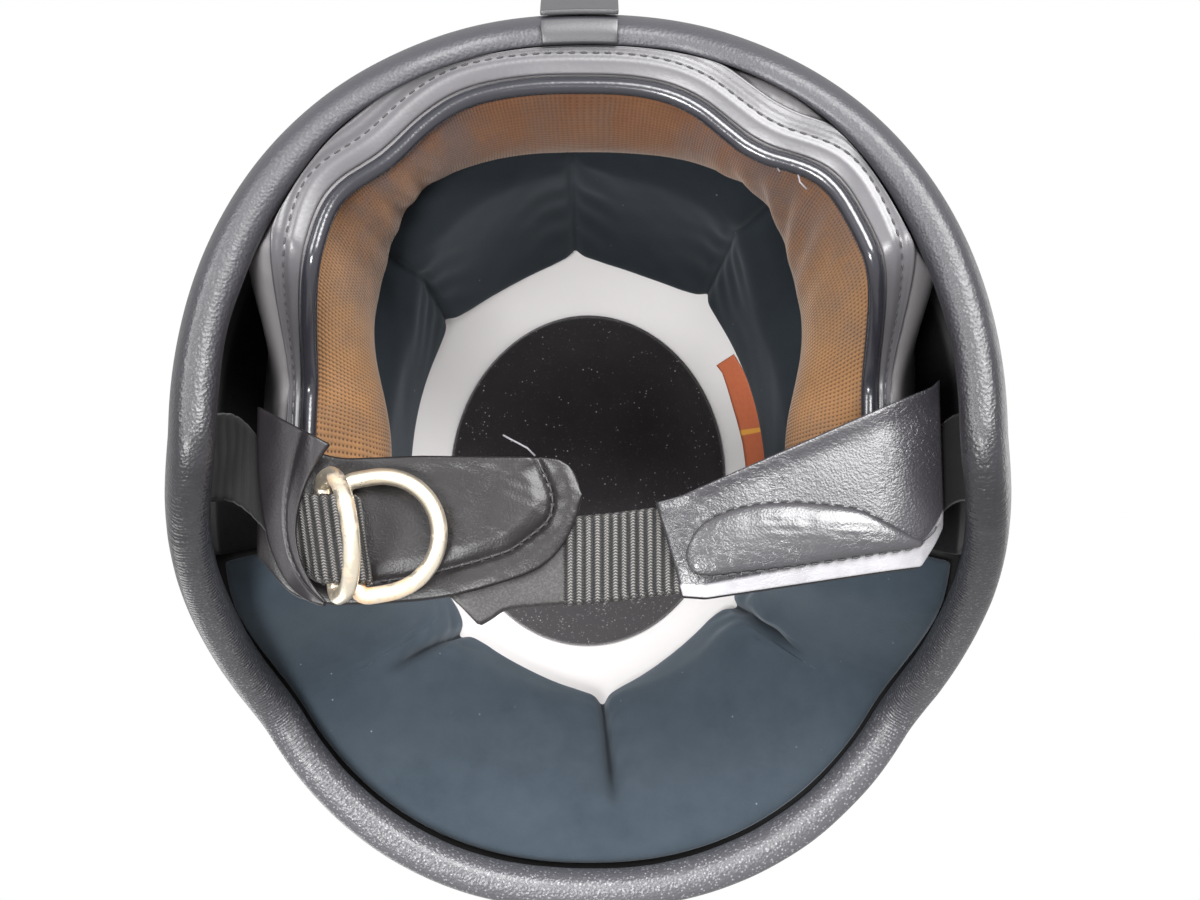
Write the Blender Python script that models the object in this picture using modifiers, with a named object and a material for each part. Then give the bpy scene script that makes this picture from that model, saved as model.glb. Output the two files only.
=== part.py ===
# Open-face motorcycle helmet with a drawn-in rim, stored with its chin straps folded across the neck opening.
# Metres, +Z up to the crown, the face towards -Y, the origin under the middle of the rim that it stands on.
# Angles run round the helmet from the rear, zero at +Y and a quarter turn at the wearer's left, +X.
import math

import bmesh
import bpy
import numpy as np
from mathutils import Matrix, Vector

# Shell
shell_width = 0.253
rear_reach = 0.1405
front_edge = 0.1435
shell_height = 0.235
shell_wall = 0.004
widest_height = 0.088
plan_power = 2.2
crown_power = 2.15
side_tuck_share = 0.10
rear_tuck_share = 0.20
tuck_power = 3.0
rear_tuck_power = 2.2
shell_columns = 64
shell_rows = 11
shell_row_power = 1.2

# Rim: level from the rear to below the ears, steep at the cheeks, then up to the brow
rim_lift = 0.0025
cheek_drop = 0.120
cheek_rise = shell_height - cheek_drop
brow_rise = 0.0175
rear_lift = 0.0035
rear_lift_end = math.radians(32)
cheek_start = math.radians(91)
cheek_end = math.radians(124)
brow_start = math.radians(112)

# Edge trim, a padded channel pressed over the rim
trim_outer = 0.0019
trim_inner = 0.0072
trim_lip = 0.0105
trim_heel = 0.0046
trim_slot_gap = 0.0006
trim_section_shares = (
    (0.985, 0.97), (1.0, 0.3), (0.93, -0.5), (0.76, -0.9), (0.52, -1.0),
    (0.28, -0.92), (0.09, -0.55), (0.0, 0.1), (0.03, 0.62), (0.14, 0.94), (0.3, 1.0),
)

# Foam liner and the head space inside it
touch_gap = 0.0004
soft_gap = 0.0006
foam_side = 0.0505
foam_rear = 0.0415
foam_front = 0.0455
foam_crown = 0.042
space_width = shell_width - foam_side * 2
space_rear = rear_reach - foam_rear
space_front = front_edge - foam_front
space_top = shell_height - foam_crown
foam_rear_edge = 0.052
foam_ear_edge = 0.090
foam_edge_roll = 0.020
foam_brow_roll = 0.0085
foam_rim_clearance = 0.0155
foam_edge_blend = 0.006
ear_rear_angle = math.radians(62)
foam_turn_share = 0.3
foam_columns = 54
foam_rows = 6
foam_face_rows = 12
foam_gap = 0.0013

# Crown pad
pad_side_room = 0.0255
pad_end_room = 0.038
pad_width = space_width - pad_side_room * 2
pad_length = space_rear + space_front - pad_end_room * 2
pad_offset = 0.0085
pad_thickness = 0.007
pad_segments = 28
pad_rings = 10
pad_gap = 0.0009

# Comfort lining, a front and a rear half that meet above the ears
lining_thickness = 0.0032
lining_puff = 0.0022
lining_join = math.radians(101)
lining_join_gap = math.radians(0.5)
lining_gap = 0.0015
lining_drop = 0.050
lining_top = space_top - lining_drop
lining_rear_start_share = 0.17
lining_front_start_share = 0.012
dart_angles = tuple(math.radians(degrees) for degrees in (3, 48, -38, 130, -119, -176))
dart_half_angle = math.radians(5)
dart_notch = 0.008
brow_lining_lift = 0.0185
brow_lift_start = math.radians(85)
brow_lift_end = math.radians(128)

# Neck roll
roll_side_inset = 0.0395
roll_rear_inset = 0.0445
roll_half_width = shell_width / 2 - roll_side_inset
roll_rear = rear_reach - roll_rear_inset
roll_power = 2.55
roll_floor = 0.009
roll_end_lift = 0.037
roll_lift_start = 0.050
roll_lift_end = 0.014
roll_end_angle = math.radians(92)
roll_bottom_width = 0.0145
roll_top_width = 0.030
roll_side_width = 0.019
roll_columns = 30
# the guide points of the roll's back, out from its front and up, as shares of its lower width: at the sides, then
# at the rear, where it is fullest
roll_fullness_share = 0.75
roll_side_shares = ((0.7, -0.42), (1.6, -0.1), (1.05, 1.2))
roll_rear_shares = ((0.9, -0.45), (2.5, -0.34), (1.45, 1.1))
roll_end_taper = 0.60
roll_trim_gap = 0.0012
keeper_pass = 0.0034
facing_thickness = 0.003
facing_crown = 0.0025
facing_inset_share = 0.08
facing_lean = 0.0205
band_start_share = 0.02
band_end_share = 0.22
band_thickness = 0.0011
band_gap = 0.001
piping_diameter = 0.0046

# Ear lining
ear_lining_thickness = 0.002
ear_lining_rear = math.radians(64)
ear_lining_front = math.radians(100.2)
ear_rim_clearance = 0.0125
ear_gap = 0.0012
ear_foam_end_share = 0.15
ear_window_margin = 0.004

# Strap hangers and their rivets
hanger_offset = -0.0065
rivet_height = 0.058
bar_height = 0.0379
hanger_plate = 0.0014
hanger_bar = 0.0028
hanger_leg = 0.002
hanger_stand_off = 0.0019
hanger_slot = 0.0027
hanger_top = 0.010
hanger_step_low = 0.0058
hanger_step_high = 0.0125
rivet_shank = 0.005
rivet_head = 0.013
rivet_head_height = 0.0032
rivet_tail = 0.009
rivet_tail_height = 0.0016
rivet_hole_gap = 0.0003
washer_diameter = 0.013
washer_thickness = 0.0008

# Webbing
webbing_width = 0.0262
webbing_thickness = 0.0015
webbing_seam_gap = 0.0002
loop_gap = 0.00035
leather_thickness = 0.0022

# Left strap with its two rings
ring_wire = 0.005
ring_inside = 0.0295
ring_reach = 0.0265
ring_spacing = 0.0063
ring_corner = 0.005
ring_height = 0.0325
inner_ring_reach = 0.0390
inner_ring_tilt = math.radians(70)
outer_ring_tilt = math.radians(6)
left_strap_shift = -0.0255
ring_skew = math.radians(9)
tab_start = 0.017
tab_length = 0.040
tab_width = 0.060
flap_length = 0.096
flap_width = 0.0425

# Right strap
right_strap_start = -0.010
right_strap_slope = 0.300
right_strap_bend = 0.030
right_tail_slope = 0.08
sleeve_start = 0.0105
sleeve_length = 0.0815
sleeve_wide = 0.0535
sleeve_narrow = 0.0275
right_webbing_length = 0.146
right_flat_height = 0.0318
right_tail_height = 0.0400
tail_taper_share = 0.5
tail_point_share = 0.55
sleeve_corner_length = 0.0075
sleeve_corner_width = 0.0095
patch_start = 0.007
patch_length = 0.069
patch_crown = 0.0028
# the leaf-shaped pad's edges, as shares across the sleeve, at shares of the pad's length from the hanger
patch_rear_shares = ((0.0, 0.13), (0.11, 0.22), (0.28, 0.40), (0.54, 0.59), (0.84, 0.71), (0.93, 0.66), (1.0, 0.42))
patch_front_shares = ((0.0, 0.11), (0.07, 0.10), (0.54, 0.12), (0.93, 0.20), (1.0, 0.36))

# Goggle strap keeper at the rear
keeper_offset = 0.0025
keeper_width = 0.0228
keeper_thickness = 0.0018
keeper_stand_off = 0.0048
keeper_hinge_height = 0.0085
keeper_length = 0.040
snap_height = 0.036
snap_cap_diameter = 0.0145
snap_cap_height = 0.0026
snap_socket_diameter = 0.010
snap_socket_height = 0.0014
stud_base = 0.0115
stud_post = 0.0066
stud_height = 0.0030
stud_base_height = 0.0009
root_rivet_height = 0.027
root_rivet_shank = 0.003
root_rivet_head = 0.008
root_rivet_head_height = 0.0013

# Brow snaps
brow_snap_drop = 0.072
brow_snap_height = shell_height - brow_snap_drop
brow_snap_angle = math.radians(32)

overrun = 0.002
merge_distance = 0.00001
slope_step = 0.0001
turn_step = 0.001


def start_file():
    for thing in list(bpy.data.objects):
        bpy.data.objects.remove(thing, do_unlink=True)
    made = []
    for name in ("open_face_helmet", "helmet_cutters"):
        collection = bpy.data.collections.new(name)
        bpy.context.scene.collection.children.link(collection)
        made.append(collection)
    return made


def make_material(name, color, roughness, metallic=0.0, coat=0.0):
    material = bpy.data.materials.new(name)
    material.use_nodes = True
    shader = material.node_tree.nodes["Principled BSDF"]
    shader.inputs["Base Color"].default_value = (*color, 1)
    shader.inputs["Roughness"].default_value = roughness
    shader.inputs["Metallic"].default_value = metallic
    shader.inputs["Coat Weight"].default_value = coat
    material.diffuse_color = (*color, 1)
    return material


def add_object(name, data, material=None, collection=None):
    thing = bpy.data.objects.new(name, data)
    (collection or parts).objects.link(thing)
    if material:
        data.materials.append(material)
    return thing


def face_outwards(bm):
    bmesh.ops.recalc_face_normals(bm, faces=bm.faces[:])
    if bm.calc_volume(signed=True) < 0:
        bmesh.ops.reverse_faces(bm, faces=bm.faces[:])


def finish_mesh(bm, name, material, smooth_angle=math.radians(40)):
    face_outwards(bm)
    mesh = bpy.data.meshes.new(name)
    bm.to_mesh(mesh)
    bm.free()
    mesh.shade_smooth()
    mesh.set_sharp_from_angle(angle=smooth_angle)
    return add_object(name, mesh, material)


def blend(start, end, share):
    return start + (end - start) * share


def ease(share):
    share = min(1.0, max(0.0, share))
    return share * share * (3 - 2 * share)


def bezier(points, share):
    points = [Vector(p) for p in points]
    while len(points) > 1:
        points = [a.lerp(b, share) for a, b in zip(points, points[1:])]
    return points[0]


def bow(value, power):
    return math.copysign(abs(value) ** (2 / power), value)


def egg(angle, half_width, rear, front, power):
    along = rear if math.cos(angle) > 0 else front
    return half_width * bow(math.sin(angle), power), along * bow(math.cos(angle), power)


def dome_share(height, top):
    rise = min(1.0, max(0.0, (height - widest_height) / (top - widest_height)))
    return (1 - rise**crown_power) ** (1 / crown_power)


def tuck_share(angle, height):
    drop = min(1.0, max(0.0, 1 - height / widest_height))
    rearward = max(0.0, math.cos(angle)) ** 1.5
    side = side_tuck_share * drop**tuck_power
    rear = rear_tuck_share * drop**rear_tuck_power
    return 1 - blend(side, rear, rearward)


# Surfaces

front_reach = (front_edge - trim_outer) / dome_share(rim_lift + cheek_rise + brow_rise, shell_height)


def rim_height(angle):
    turn = abs(angle)
    cheek = ease((turn - cheek_start) / (cheek_end - cheek_start))
    brow = math.sin(math.pi / 2 * max(0.0, (turn - brow_start) / (math.pi - brow_start)))
    rear = 1 - ease(turn / rear_lift_end * 1.5 - 0.5)
    return rim_lift + cheek_rise * cheek + brow_rise * brow + rear_lift * rear


def shell_point(angle, height, inset=0.0):
    x, y = egg(angle, shell_width / 2 - inset, rear_reach - inset, front_reach - inset, plan_power)
    share = dome_share(height, shell_height - inset) * tuck_share(angle, height)
    return Vector((x * share, y * share, height))


def space_point(angle, height):
    x, y = egg(angle, space_width / 2, space_rear, space_front, plan_power)
    share = dome_share(height, space_top)
    return Vector((x * share, y * share, height))


# A climb is an angle up the dome: heights below the widest section fall in step with it
lowest_climb = 0.6


def climb_height(climb, top):
    if climb < 0:
        return widest_height * (1 + climb / lowest_climb)
    return widest_height + (top - widest_height) * math.sin(climb)


def height_climb(height, top):
    if height < widest_height:
        return lowest_climb * (height / widest_height - 1)
    return math.asin(min(1.0, (height - widest_height) / (top - widest_height)))


def surface_normal(place, first, second, step=turn_step):
    across = place(first + step, second) - place(first - step, second)
    along = place(first, second + step) - place(first, second - step)
    return across.cross(along).normalized()


def shell_field(point):
    # below 1 inside the shell's outer surface, 1 on it and more outside
    x, y, z = point
    along = rear_reach if y > 0 else front_reach
    across = (abs(x) / (shell_width / 2)) ** plan_power + (abs(y) / along) ** plan_power
    share = across ** (1 / plan_power)
    if z < widest_height:
        return share / tuck_share(surface_angle(point), z)
    rise = (z - widest_height) / (shell_height - widest_height)
    return (share**crown_power + rise**crown_power) ** (1 / crown_power)


def surface_angle(point):
    along = rear_reach if point[1] > 0 else front_reach
    across = (abs(point[0]) / (shell_width / 2)) ** (plan_power / 2)
    forward = (abs(point[1]) / along) ** (plan_power / 2)
    return math.atan2(math.copysign(across, point[0]), math.copysign(forward, point[1]))


def field_slope(field, point, step=slope_step):
    axes = (Vector((step, 0, 0)), Vector((0, step, 0)), Vector((0, 0, step)))
    return Vector([(field(point + axis) - field(point - axis)) / step / 2 for axis in axes])


def shell_normal(angle, height):
    return field_slope(shell_field, shell_point(angle, height)).normalized()


def under_shell(angle, height, depth):
    return shell_point(angle, height) - shell_normal(angle, height) * depth


def space_field(point):
    x, y, z = point
    along = space_rear if y > 0 else space_front
    across = (abs(x) / (space_width / 2)) ** plan_power + (abs(y) / along) ** plan_power
    rise = max(0.0, (z - widest_height) / (space_top - widest_height))
    return (across ** (crown_power / plan_power) + rise**crown_power) ** (1 / crown_power)


def even_rim_angles():
    angles = np.linspace(-math.pi, math.pi, 1441)
    points = [shell_point(a, rim_height(a)) for a in angles]
    steps = [0.0] + [(q - p).length for p, q in zip(points, points[1:])]
    walked = np.cumsum(steps)
    return angles, walked / walked[-1]


rim_angles, rim_walked = even_rim_angles()


def rim_angle(turn):
    return float(np.interp((turn + math.pi) / (2 * math.pi), rim_walked, rim_angles))


def above_rim(angle, distance):
    # the height that stays a distance clear of the rim, also where the rim runs steeply up the cheek
    reach = distance / (shell_width / 2)
    shares = np.linspace(-1, 1, 13)
    return max(rim_height(angle + reach * s) + distance * math.sqrt(1 - s * s) for s in shares)


def foam_edge(angle):
    turn = abs(angle)
    ear = ease((turn - ear_rear_angle / 2) / (ear_rear_angle / 2))
    low = blend(foam_rear_edge, foam_ear_edge, ear)
    over_rim = above_rim(angle, foam_rim_clearance)
    rise = over_rim - low
    return low + (rise + math.sqrt(rise * rise + foam_edge_blend * foam_edge_blend)) / 2


def foam_roll(angle):
    return blend(foam_edge_roll, foam_brow_roll, ease((abs(angle) - cheek_start) / (cheek_end - cheek_start)))


# The foam's own face: rolled round its lower edge for the first share, then up the head space to the crown
def foam_face(angle, share):
    low = foam_edge(angle)
    high = low + foam_roll(angle)
    if share < foam_turn_share:
        turn = share / foam_turn_share * math.pi / 2
        height = blend(low, high, 1 - math.cos(turn))
        inward = math.sin(turn)
    else:
        start = height_climb(high, space_top)
        climb = blend(start, math.pi / 2, (share - foam_turn_share) / (1 - foam_turn_share))
        height = climb_height(climb, space_top)
        inward = 1.0
    return under_shell(angle, height, shell_wall + foam_gap).lerp(space_point(angle, height), inward)


def foam_share(angle, height):
    low, high = foam_edge(angle), foam_edge(angle) + foam_roll(angle)
    if height < high:
        return math.acos(max(0.0, (high - height) / (high - low))) / (math.pi / 2) * foam_turn_share
    start = height_climb(high, space_top)
    climb = height_climb(height, space_top)
    return foam_turn_share + (1 - foam_turn_share) * (climb - start) / (math.pi / 2 - start)


def off_foam(angle, share, distance):
    return foam_face(angle, share) + surface_normal(foam_face, angle, share) * distance


def space_ceiling(x, y):
    along = space_rear if y > 0 else space_front
    share = (abs(x) / (space_width / 2)) ** plan_power + (abs(y) / along) ** plan_power
    share = share ** (1 / plan_power)
    return widest_height + (space_top - widest_height) * (1 - share**crown_power) ** (1 / crown_power)


# Mesh makers


def half_sphere(bm, columns, rows, place):
    # place takes a turn from -pi to pi and a share from the rim, 0, to the crown, 1
    made = bmesh.ops.create_uvsphere(bm, u_segments=columns, v_segments=2 * rows, radius=1)
    below = [v for v in made["verts"] if v.co.z < -0.5 / rows]
    bmesh.ops.delete(bm, geom=below, context="VERTS")
    kept = [v for v in made["verts"] if v.is_valid]
    for vert in kept:
        turn = math.atan2(vert.co.x, vert.co.y)
        share = math.asin(max(0.0, min(1.0, vert.co.z))) / (math.pi / 2)
        vert.co = place(turn, share)
    return kept


def slab(name, columns, rows, outer, inner, material):
    # two unlike sheets over the same shares (0 to 1 along and across), joined round their edges
    bm = bmesh.new()
    edges = []
    for place in (outer, inner):
        grid = bmesh.ops.create_grid(bm, x_segments=columns, y_segments=rows, size=0.5)
        for vert in grid["verts"]:
            vert.co = place(vert.co.x + 0.5, vert.co.y + 0.5)
        edges += [e for v in grid["verts"] for e in v.link_edges if e.is_boundary]
    bmesh.ops.bridge_loops(bm, edges=list(set(edges)))
    return finish_mesh(bm, name, material)


def turned(name, profile, place, axis, material, steps=16):
    # profile runs from the axis outwards and back to it, as (radius, height along the axis)
    return spun(name, [(0.0, profile[0][1]), *profile, (0.0, profile[-1][1])], place, axis, material, steps)


def ring(name, inside, outside, top, bottom, place, axis, steps=16):
    loop = [(inside, top), (outside, top), (outside, bottom), (inside, bottom), (inside, top)]
    return spun(name, loop, place, axis, plated_steel, steps)


def spun(name, profile, place, axis, material, steps):
    bm = bmesh.new()
    spots = [bm.verts.new((radius, 0, height)) for radius, height in profile]
    edges = [bm.edges.new(pair) for pair in zip(spots, spots[1:])]
    bmesh.ops.spin(
        bm, geom=spots + edges, cent=(0, 0, 0), axis=(0, 0, 1), angle=2 * math.pi, steps=steps, use_merge=True
    )
    bmesh.ops.remove_doubles(bm, verts=bm.verts[:], dist=merge_distance)
    bm.transform(Matrix.Translation(place) @ Vector(axis).to_track_quat("Z", "Y").to_matrix().to_4x4())
    return finish_mesh(bm, name, material)


def flat_outline(name, loops, half_depth, material=None, collection=None):
    # closed loops in X and Z, the first the outside and the rest holes, drawn out along Y
    curve = bpy.data.curves.new(name, "CURVE")
    curve.dimensions = "2D"
    curve.fill_mode = "BOTH"
    curve.extrude = half_depth
    for loop in loops:
        spline = curve.splines.new("POLY")
        spline.points.add(len(loop) - 1)
        for point, (x, z) in zip(spline.points, loop):
            point.co = (x, z, 0, 1)
        spline.use_cyclic_u = True
    thing = add_object(name, curve, collection=collection)
    thing.rotation_euler = (math.pi / 2, 0, 0)
    return as_mesh(thing, material)


def as_mesh(thing, material=None):
    bpy.context.view_layer.update()
    graph = bpy.context.evaluated_depsgraph_get()
    mesh = bpy.data.meshes.new_from_object(thing.evaluated_get(graph))
    mesh.transform(thing.matrix_world)
    name, collection, old = thing.name, thing.users_collection[0], thing.data
    bpy.data.objects.remove(thing)
    bpy.data.curves.remove(old)
    bm = bmesh.new()
    bm.from_mesh(mesh)
    bmesh.ops.remove_doubles(bm, verts=bm.verts[:], dist=merge_distance)
    face_outwards(bm)
    bm.to_mesh(mesh)
    bm.free()
    mesh.name = name
    mesh.materials.clear()
    return add_object(name, mesh, material, collection)


def wire(name, points, diameter, material, cyclic=False, resolution=2):
    curve = bpy.data.curves.new(name, "CURVE")
    curve.dimensions = "3D"
    curve.bevel_depth = diameter / 2
    curve.bevel_resolution = resolution
    curve.use_fill_caps = True
    curve.render_resolution_u = 0
    spline = curve.splines.new("POLY")
    spline.points.add(len(points) - 1)
    for place, point in zip(spline.points, points):
        place.co = (*point, 1)
    spline.use_cyclic_u = cyclic
    return as_mesh(add_object(name, curve), material)


def cut(thing, cutter):
    cutter.hide_render = True
    cutter.display_type = "WIRE"
    change = thing.modifiers.new("cut", "BOOLEAN")
    change.object = cutter
    change.operation = "DIFFERENCE"
    return thing


def rod_cutter(name, diameter, start, end):
    bm = bmesh.new()
    bmesh.ops.create_cone(
        bm, cap_ends=True, segments=20, radius1=diameter / 2, radius2=diameter / 2, depth=(end - start).length
    )
    turn = (end - start).to_track_quat("Z", "Y").to_matrix().to_4x4()
    bm.transform(Matrix.Translation((start + end) / 2) @ turn)
    mesh = bpy.data.meshes.new(name)
    bm.to_mesh(mesh)
    bm.free()
    return add_object(name, mesh, collection=cutters)


def box_cutter(name, low, high):
    bm = bmesh.new()
    bmesh.ops.create_cube(bm, size=1)
    size = [abs(b - a) for a, b in zip(low, high)]
    bm.transform(Matrix.Translation((Vector(low) + Vector(high)) / 2) @ Matrix.Diagonal((*size, 1)))
    mesh = bpy.data.meshes.new(name)
    bm.to_mesh(mesh)
    bm.free()
    return add_object(name, mesh, collection=cutters)


# Shell, trim and foam


def angle_at(offset, reach_height):
    # the angle at which the shell's side crosses a distance from the middle, forwards being negative
    share = dome_share(reach_height, shell_height) * tuck_share(math.pi / 2, reach_height)
    along = rear_reach if offset > 0 else front_reach
    cosine = math.copysign(abs(offset / (along * share)) ** (plan_power / 2), offset)
    return math.acos(max(-1.0, min(1.0, cosine)))


rivet_angle = angle_at(hanger_offset, rivet_height)
bar_angle = angle_at(hanger_offset, bar_height)


def shell_blank(lift=0.0, lower=0.0):
    def place(turn, share):
        angle = rim_angle(turn)
        low = rim_height(angle)
        start = height_climb(low - lower * ease(1 - share * shell_rows), shell_height)
        height = climb_height(blend(start, math.pi / 2, share**shell_row_power), shell_height)
        return under_shell(angle, height, -lift)

    bm = bmesh.new()
    half_sphere(bm, shell_columns, shell_rows, place)
    return bm


def add_wall(thing, thickness):
    solid = thing.modifiers.new("wall", "SOLIDIFY")
    solid.thickness = thickness
    solid.offset = -1
    solid.use_even_offset = True


def build_shell():
    shell = finish_mesh(shell_blank(), "outer_shell", paint)
    add_wall(shell, shell_wall)
    for side, word in ((1, "left"), (-1, "right")):
        outside = shell_point(side * rivet_angle, rivet_height)
        along = Vector((side * (shell_wall + overrun), 0, 0))
        hole = rivet_shank + 2 * rivet_hole_gap
        cut(shell, rod_cutter(f"rivet_hole_{word}", hole, outside - along, outside + along))
    middle = shell_point(0, root_rivet_height) + Vector((keeper_offset, 0, 0))
    along = shell_normal(0, root_rivet_height) * (shell_wall + overrun)
    hole = root_rivet_shank + 2 * rivet_hole_gap
    cut(shell, rod_cutter("root_rivet_hole", hole, middle - along, middle + along))
    return shell


def trim_section():
    width = trim_outer + shell_wall + trim_inner
    loop = []
    for across, along in trim_section_shares:
        drop = trim_heel if along < 0 else trim_lip
        loop.append((trim_outer - width * (1 - across), along * drop))
    return loop


def build_trim():
    section = trim_section()
    bpy.ops.mesh.primitive_torus_add(
        major_segments=shell_columns, minor_segments=len(section), major_radius=1, minor_radius=0.25
    )
    made = bpy.context.object
    bm = bmesh.new()
    bm.from_mesh(made.data)
    bpy.data.objects.remove(made)
    step = 2 * math.pi / len(section)
    frames = {}
    for vert in bm.verts:
        turn = math.atan2(vert.co.x, vert.co.y)
        ring = math.atan2(vert.co.z, math.hypot(vert.co.x, vert.co.y) - 1)
        key = round(turn * shell_columns * 4)
        if key not in frames:
            frames[key] = rim_frame(rim_angle(turn))
        across, along = section[round(ring / step) % len(section)]
        vert.co = beside_rim(frames[key], across, along)
        vert.co.z = max(0.0, vert.co.z)
    trim = finish_mesh(bm, "edge_trim", trim_vinyl)
    slot = shell_blank(trim_slot_gap, 2 * trim_slot_gap)
    slot_mesh = bpy.data.meshes.new("trim_slot")
    face_outwards(slot)
    slot.to_mesh(slot_mesh)
    slot.free()
    cutter = add_object("trim_slot", slot_mesh, collection=cutters)
    add_wall(cutter, shell_wall + 2 * trim_slot_gap)
    return cut(trim, cutter)


def beside_rim(frame, across, along):
    # along runs up the shell from the rim, following its curve, and across runs out from its surface
    point, normal, inward = frame
    if along <= 0:
        return point + normal * across + inward * along
    spot = point + inward * along
    angle = surface_angle(spot)
    return under_shell(angle, spot.z, -across)


def rim_frame(angle):
    point = shell_point(angle, rim_height(angle))
    normal = shell_normal(angle, rim_height(angle))
    step = math.radians(0.5)
    ahead = shell_point(angle + step, rim_height(angle + step))
    behind = shell_point(angle - step, rim_height(angle - step))
    inward = normal.cross(ahead - behind).normalized()
    if inward.z < 0:
        inward = -inward
    return point, normal, inward


def build_foam():
    def outer(turn, share):
        angle = rim_angle(turn)
        start = height_climb(foam_edge(angle), shell_height)
        height = climb_height(blend(start, math.pi / 2, share), shell_height)
        return under_shell(angle, height, shell_wall + foam_gap)

    def inner(turn, share):
        return foam_face(rim_angle(turn), share)

    bm = bmesh.new()
    half_sphere(bm, foam_columns, foam_rows, outer)
    half_sphere(bm, foam_columns, foam_face_rows, inner)
    bmesh.ops.remove_doubles(bm, verts=bm.verts[:], dist=merge_distance)
    return finish_mesh(bm, "eps_liner", foam_white)


def build_crown_pad():
    bm = bmesh.new()
    bmesh.ops.create_uvsphere(bm, u_segments=pad_segments, v_segments=pad_rings, radius=1)
    for vert in bm.verts:
        unit = vert.co.copy()
        x, y = unit.x * pad_width / 2, pad_offset + unit.y * pad_length / 2
        ceiling = Vector((x, y, space_ceiling(x, y)))
        depth = pad_gap + pad_thickness * max(0.0, -unit.z) ** 0.55
        vert.co = ceiling - field_slope(space_field, ceiling).normalized() * depth
    return finish_mesh(bm, "crown_pad", pad_black, math.radians(60))


# Comfort lining


def dart_share(angle):
    # 1 in the middle of a dart, 0 away from it
    away = min(abs((angle - dart + math.pi) % (2 * math.pi) - math.pi) for dart in dart_angles)
    return 1 - ease(away / dart_half_angle)


def panel_share(angle):
    # 0 at each dart and 1 midway between two
    angles = sorted(dart_angles) + [sorted(dart_angles)[0] + 2 * math.pi]
    turn = (angle - angles[0]) % (2 * math.pi) + angles[0]
    for low, high in zip(angles, angles[1:]):
        if low <= turn <= high:
            return math.sin(math.pi * (turn - low) / (high - low))
    return 1.0


def lining_edge(angle):
    forward = ease((abs(angle) - brow_lift_start) / (brow_lift_end - brow_lift_start))
    return lining_top + brow_lining_lift * forward + dart_notch * (panel_share(angle) - dart_share(angle)) / 2


def build_lining(name, middle, half_turn, start_share, columns, rows):
    def place(along, across, depth):
        angle = middle + (along * 2 - 1) * half_turn
        turn = (angle + math.pi) % (2 * math.pi) - math.pi
        share = blend(start_share, foam_share(turn, lining_edge(turn)), across)
        return off_foam(turn, share, depth(turn, across))

    def outer(along, across):
        return place(along, across, lambda turn, share: lining_gap)

    def inner(along, across):
        def depth(turn, share):
            crown = math.sin(math.pi * share) ** 0.5 if 0 < share < 1 else 0.0
            puff = lining_puff * crown * (1 - dart_share(turn))
            return lining_gap + lining_thickness * (1 - 0.45 * dart_share(turn)) + puff

        return place(along, across, depth)

    return slab(name, columns, rows, outer, inner, suede)


# Neck roll


def roll_bottom(angle):
    y = roll_line(angle, 0.0).y
    return roll_floor + roll_end_lift * ease((roll_lift_start - y) / (roll_lift_start - roll_lift_end))


def roll_line(angle, outward):
    x, y = egg(angle, roll_half_width + outward, roll_rear + outward, roll_rear + outward, roll_power)
    return Vector((x, y, 0))


def roll_top(point):
    # under the ears the ear lining comes between the foam and the roll
    angle = surface_angle(point)
    under_ear = ease((abs(angle) - ear_lining_rear * 0.45) / (ear_lining_rear * 0.35))
    return foam_face(angle, 0.0).z - touch_gap - (ear_gap + ear_lining_thickness + 2 * soft_gap) * under_ear


def side_share(angle):
    return ease((abs(angle) - math.radians(30)) / math.radians(35))


def hold_in(point):
    # keeps the roll clear of the trim, the goggle strap's root and, above them, the shell
    slope = field_slope(shell_field, point)
    depth = (1 - shell_field(point)) / slope.length
    angle = surface_angle(point)
    over_trim = ease((point.z - rim_height(angle) - trim_lip) / (trim_lip / 3) - 0.6)
    needed = shell_wall + roll_trim_gap + trim_inner * (1 - over_trim) + trim_slot_gap
    if point.y > 0:
        away = abs(point.x - keeper_offset) - keeper_width * 0.6
        needed += keeper_pass * (1 - ease(away / keeper_pass / 2))
    return point - slope.normalized() * max(0.0, needed - depth)


# The back of the roll: its padded lower face, then a slope out to the foam above it
def roll_back(angle, share, lift=0.0):
    top_width = blend(roll_top_width, roll_side_width, side_share(angle))
    low = roll_bottom(angle)
    high = roll_top(roll_line(angle, top_width))
    raised = (low - roll_floor) / roll_end_lift
    narrow = roll_bottom_width * (1 - raised * roll_end_taper)
    full = 1 - side_share(angle) * roll_fullness_share
    guide = [(0, 0, 0)]
    for side, rear in zip(roll_side_shares, roll_rear_shares):
        guide.append((narrow * blend(side[0], rear[0], full), 0, narrow * blend(side[1], rear[1], full)))
    guide.append((top_width, 0, high - low))
    spot = bezier(guide, share)
    point = roll_line(angle, spot.x)
    point.z = low + spot.z
    return hold_in(point) - Vector((0, 0, lift))


# The front of the roll leans in towards the head at its deep edge beside the ears
def roll_front(angle, share, inward=0.0):
    lean = facing_lean * side_share(angle) * ease(share)
    point = roll_line(angle, -lean - inward)
    point.z = blend(roll_bottom(angle), roll_top(roll_line(angle, 0.0)), share)
    return point


def roll_turn(along):
    return (along * 2 - 1) * roll_end_angle


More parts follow.
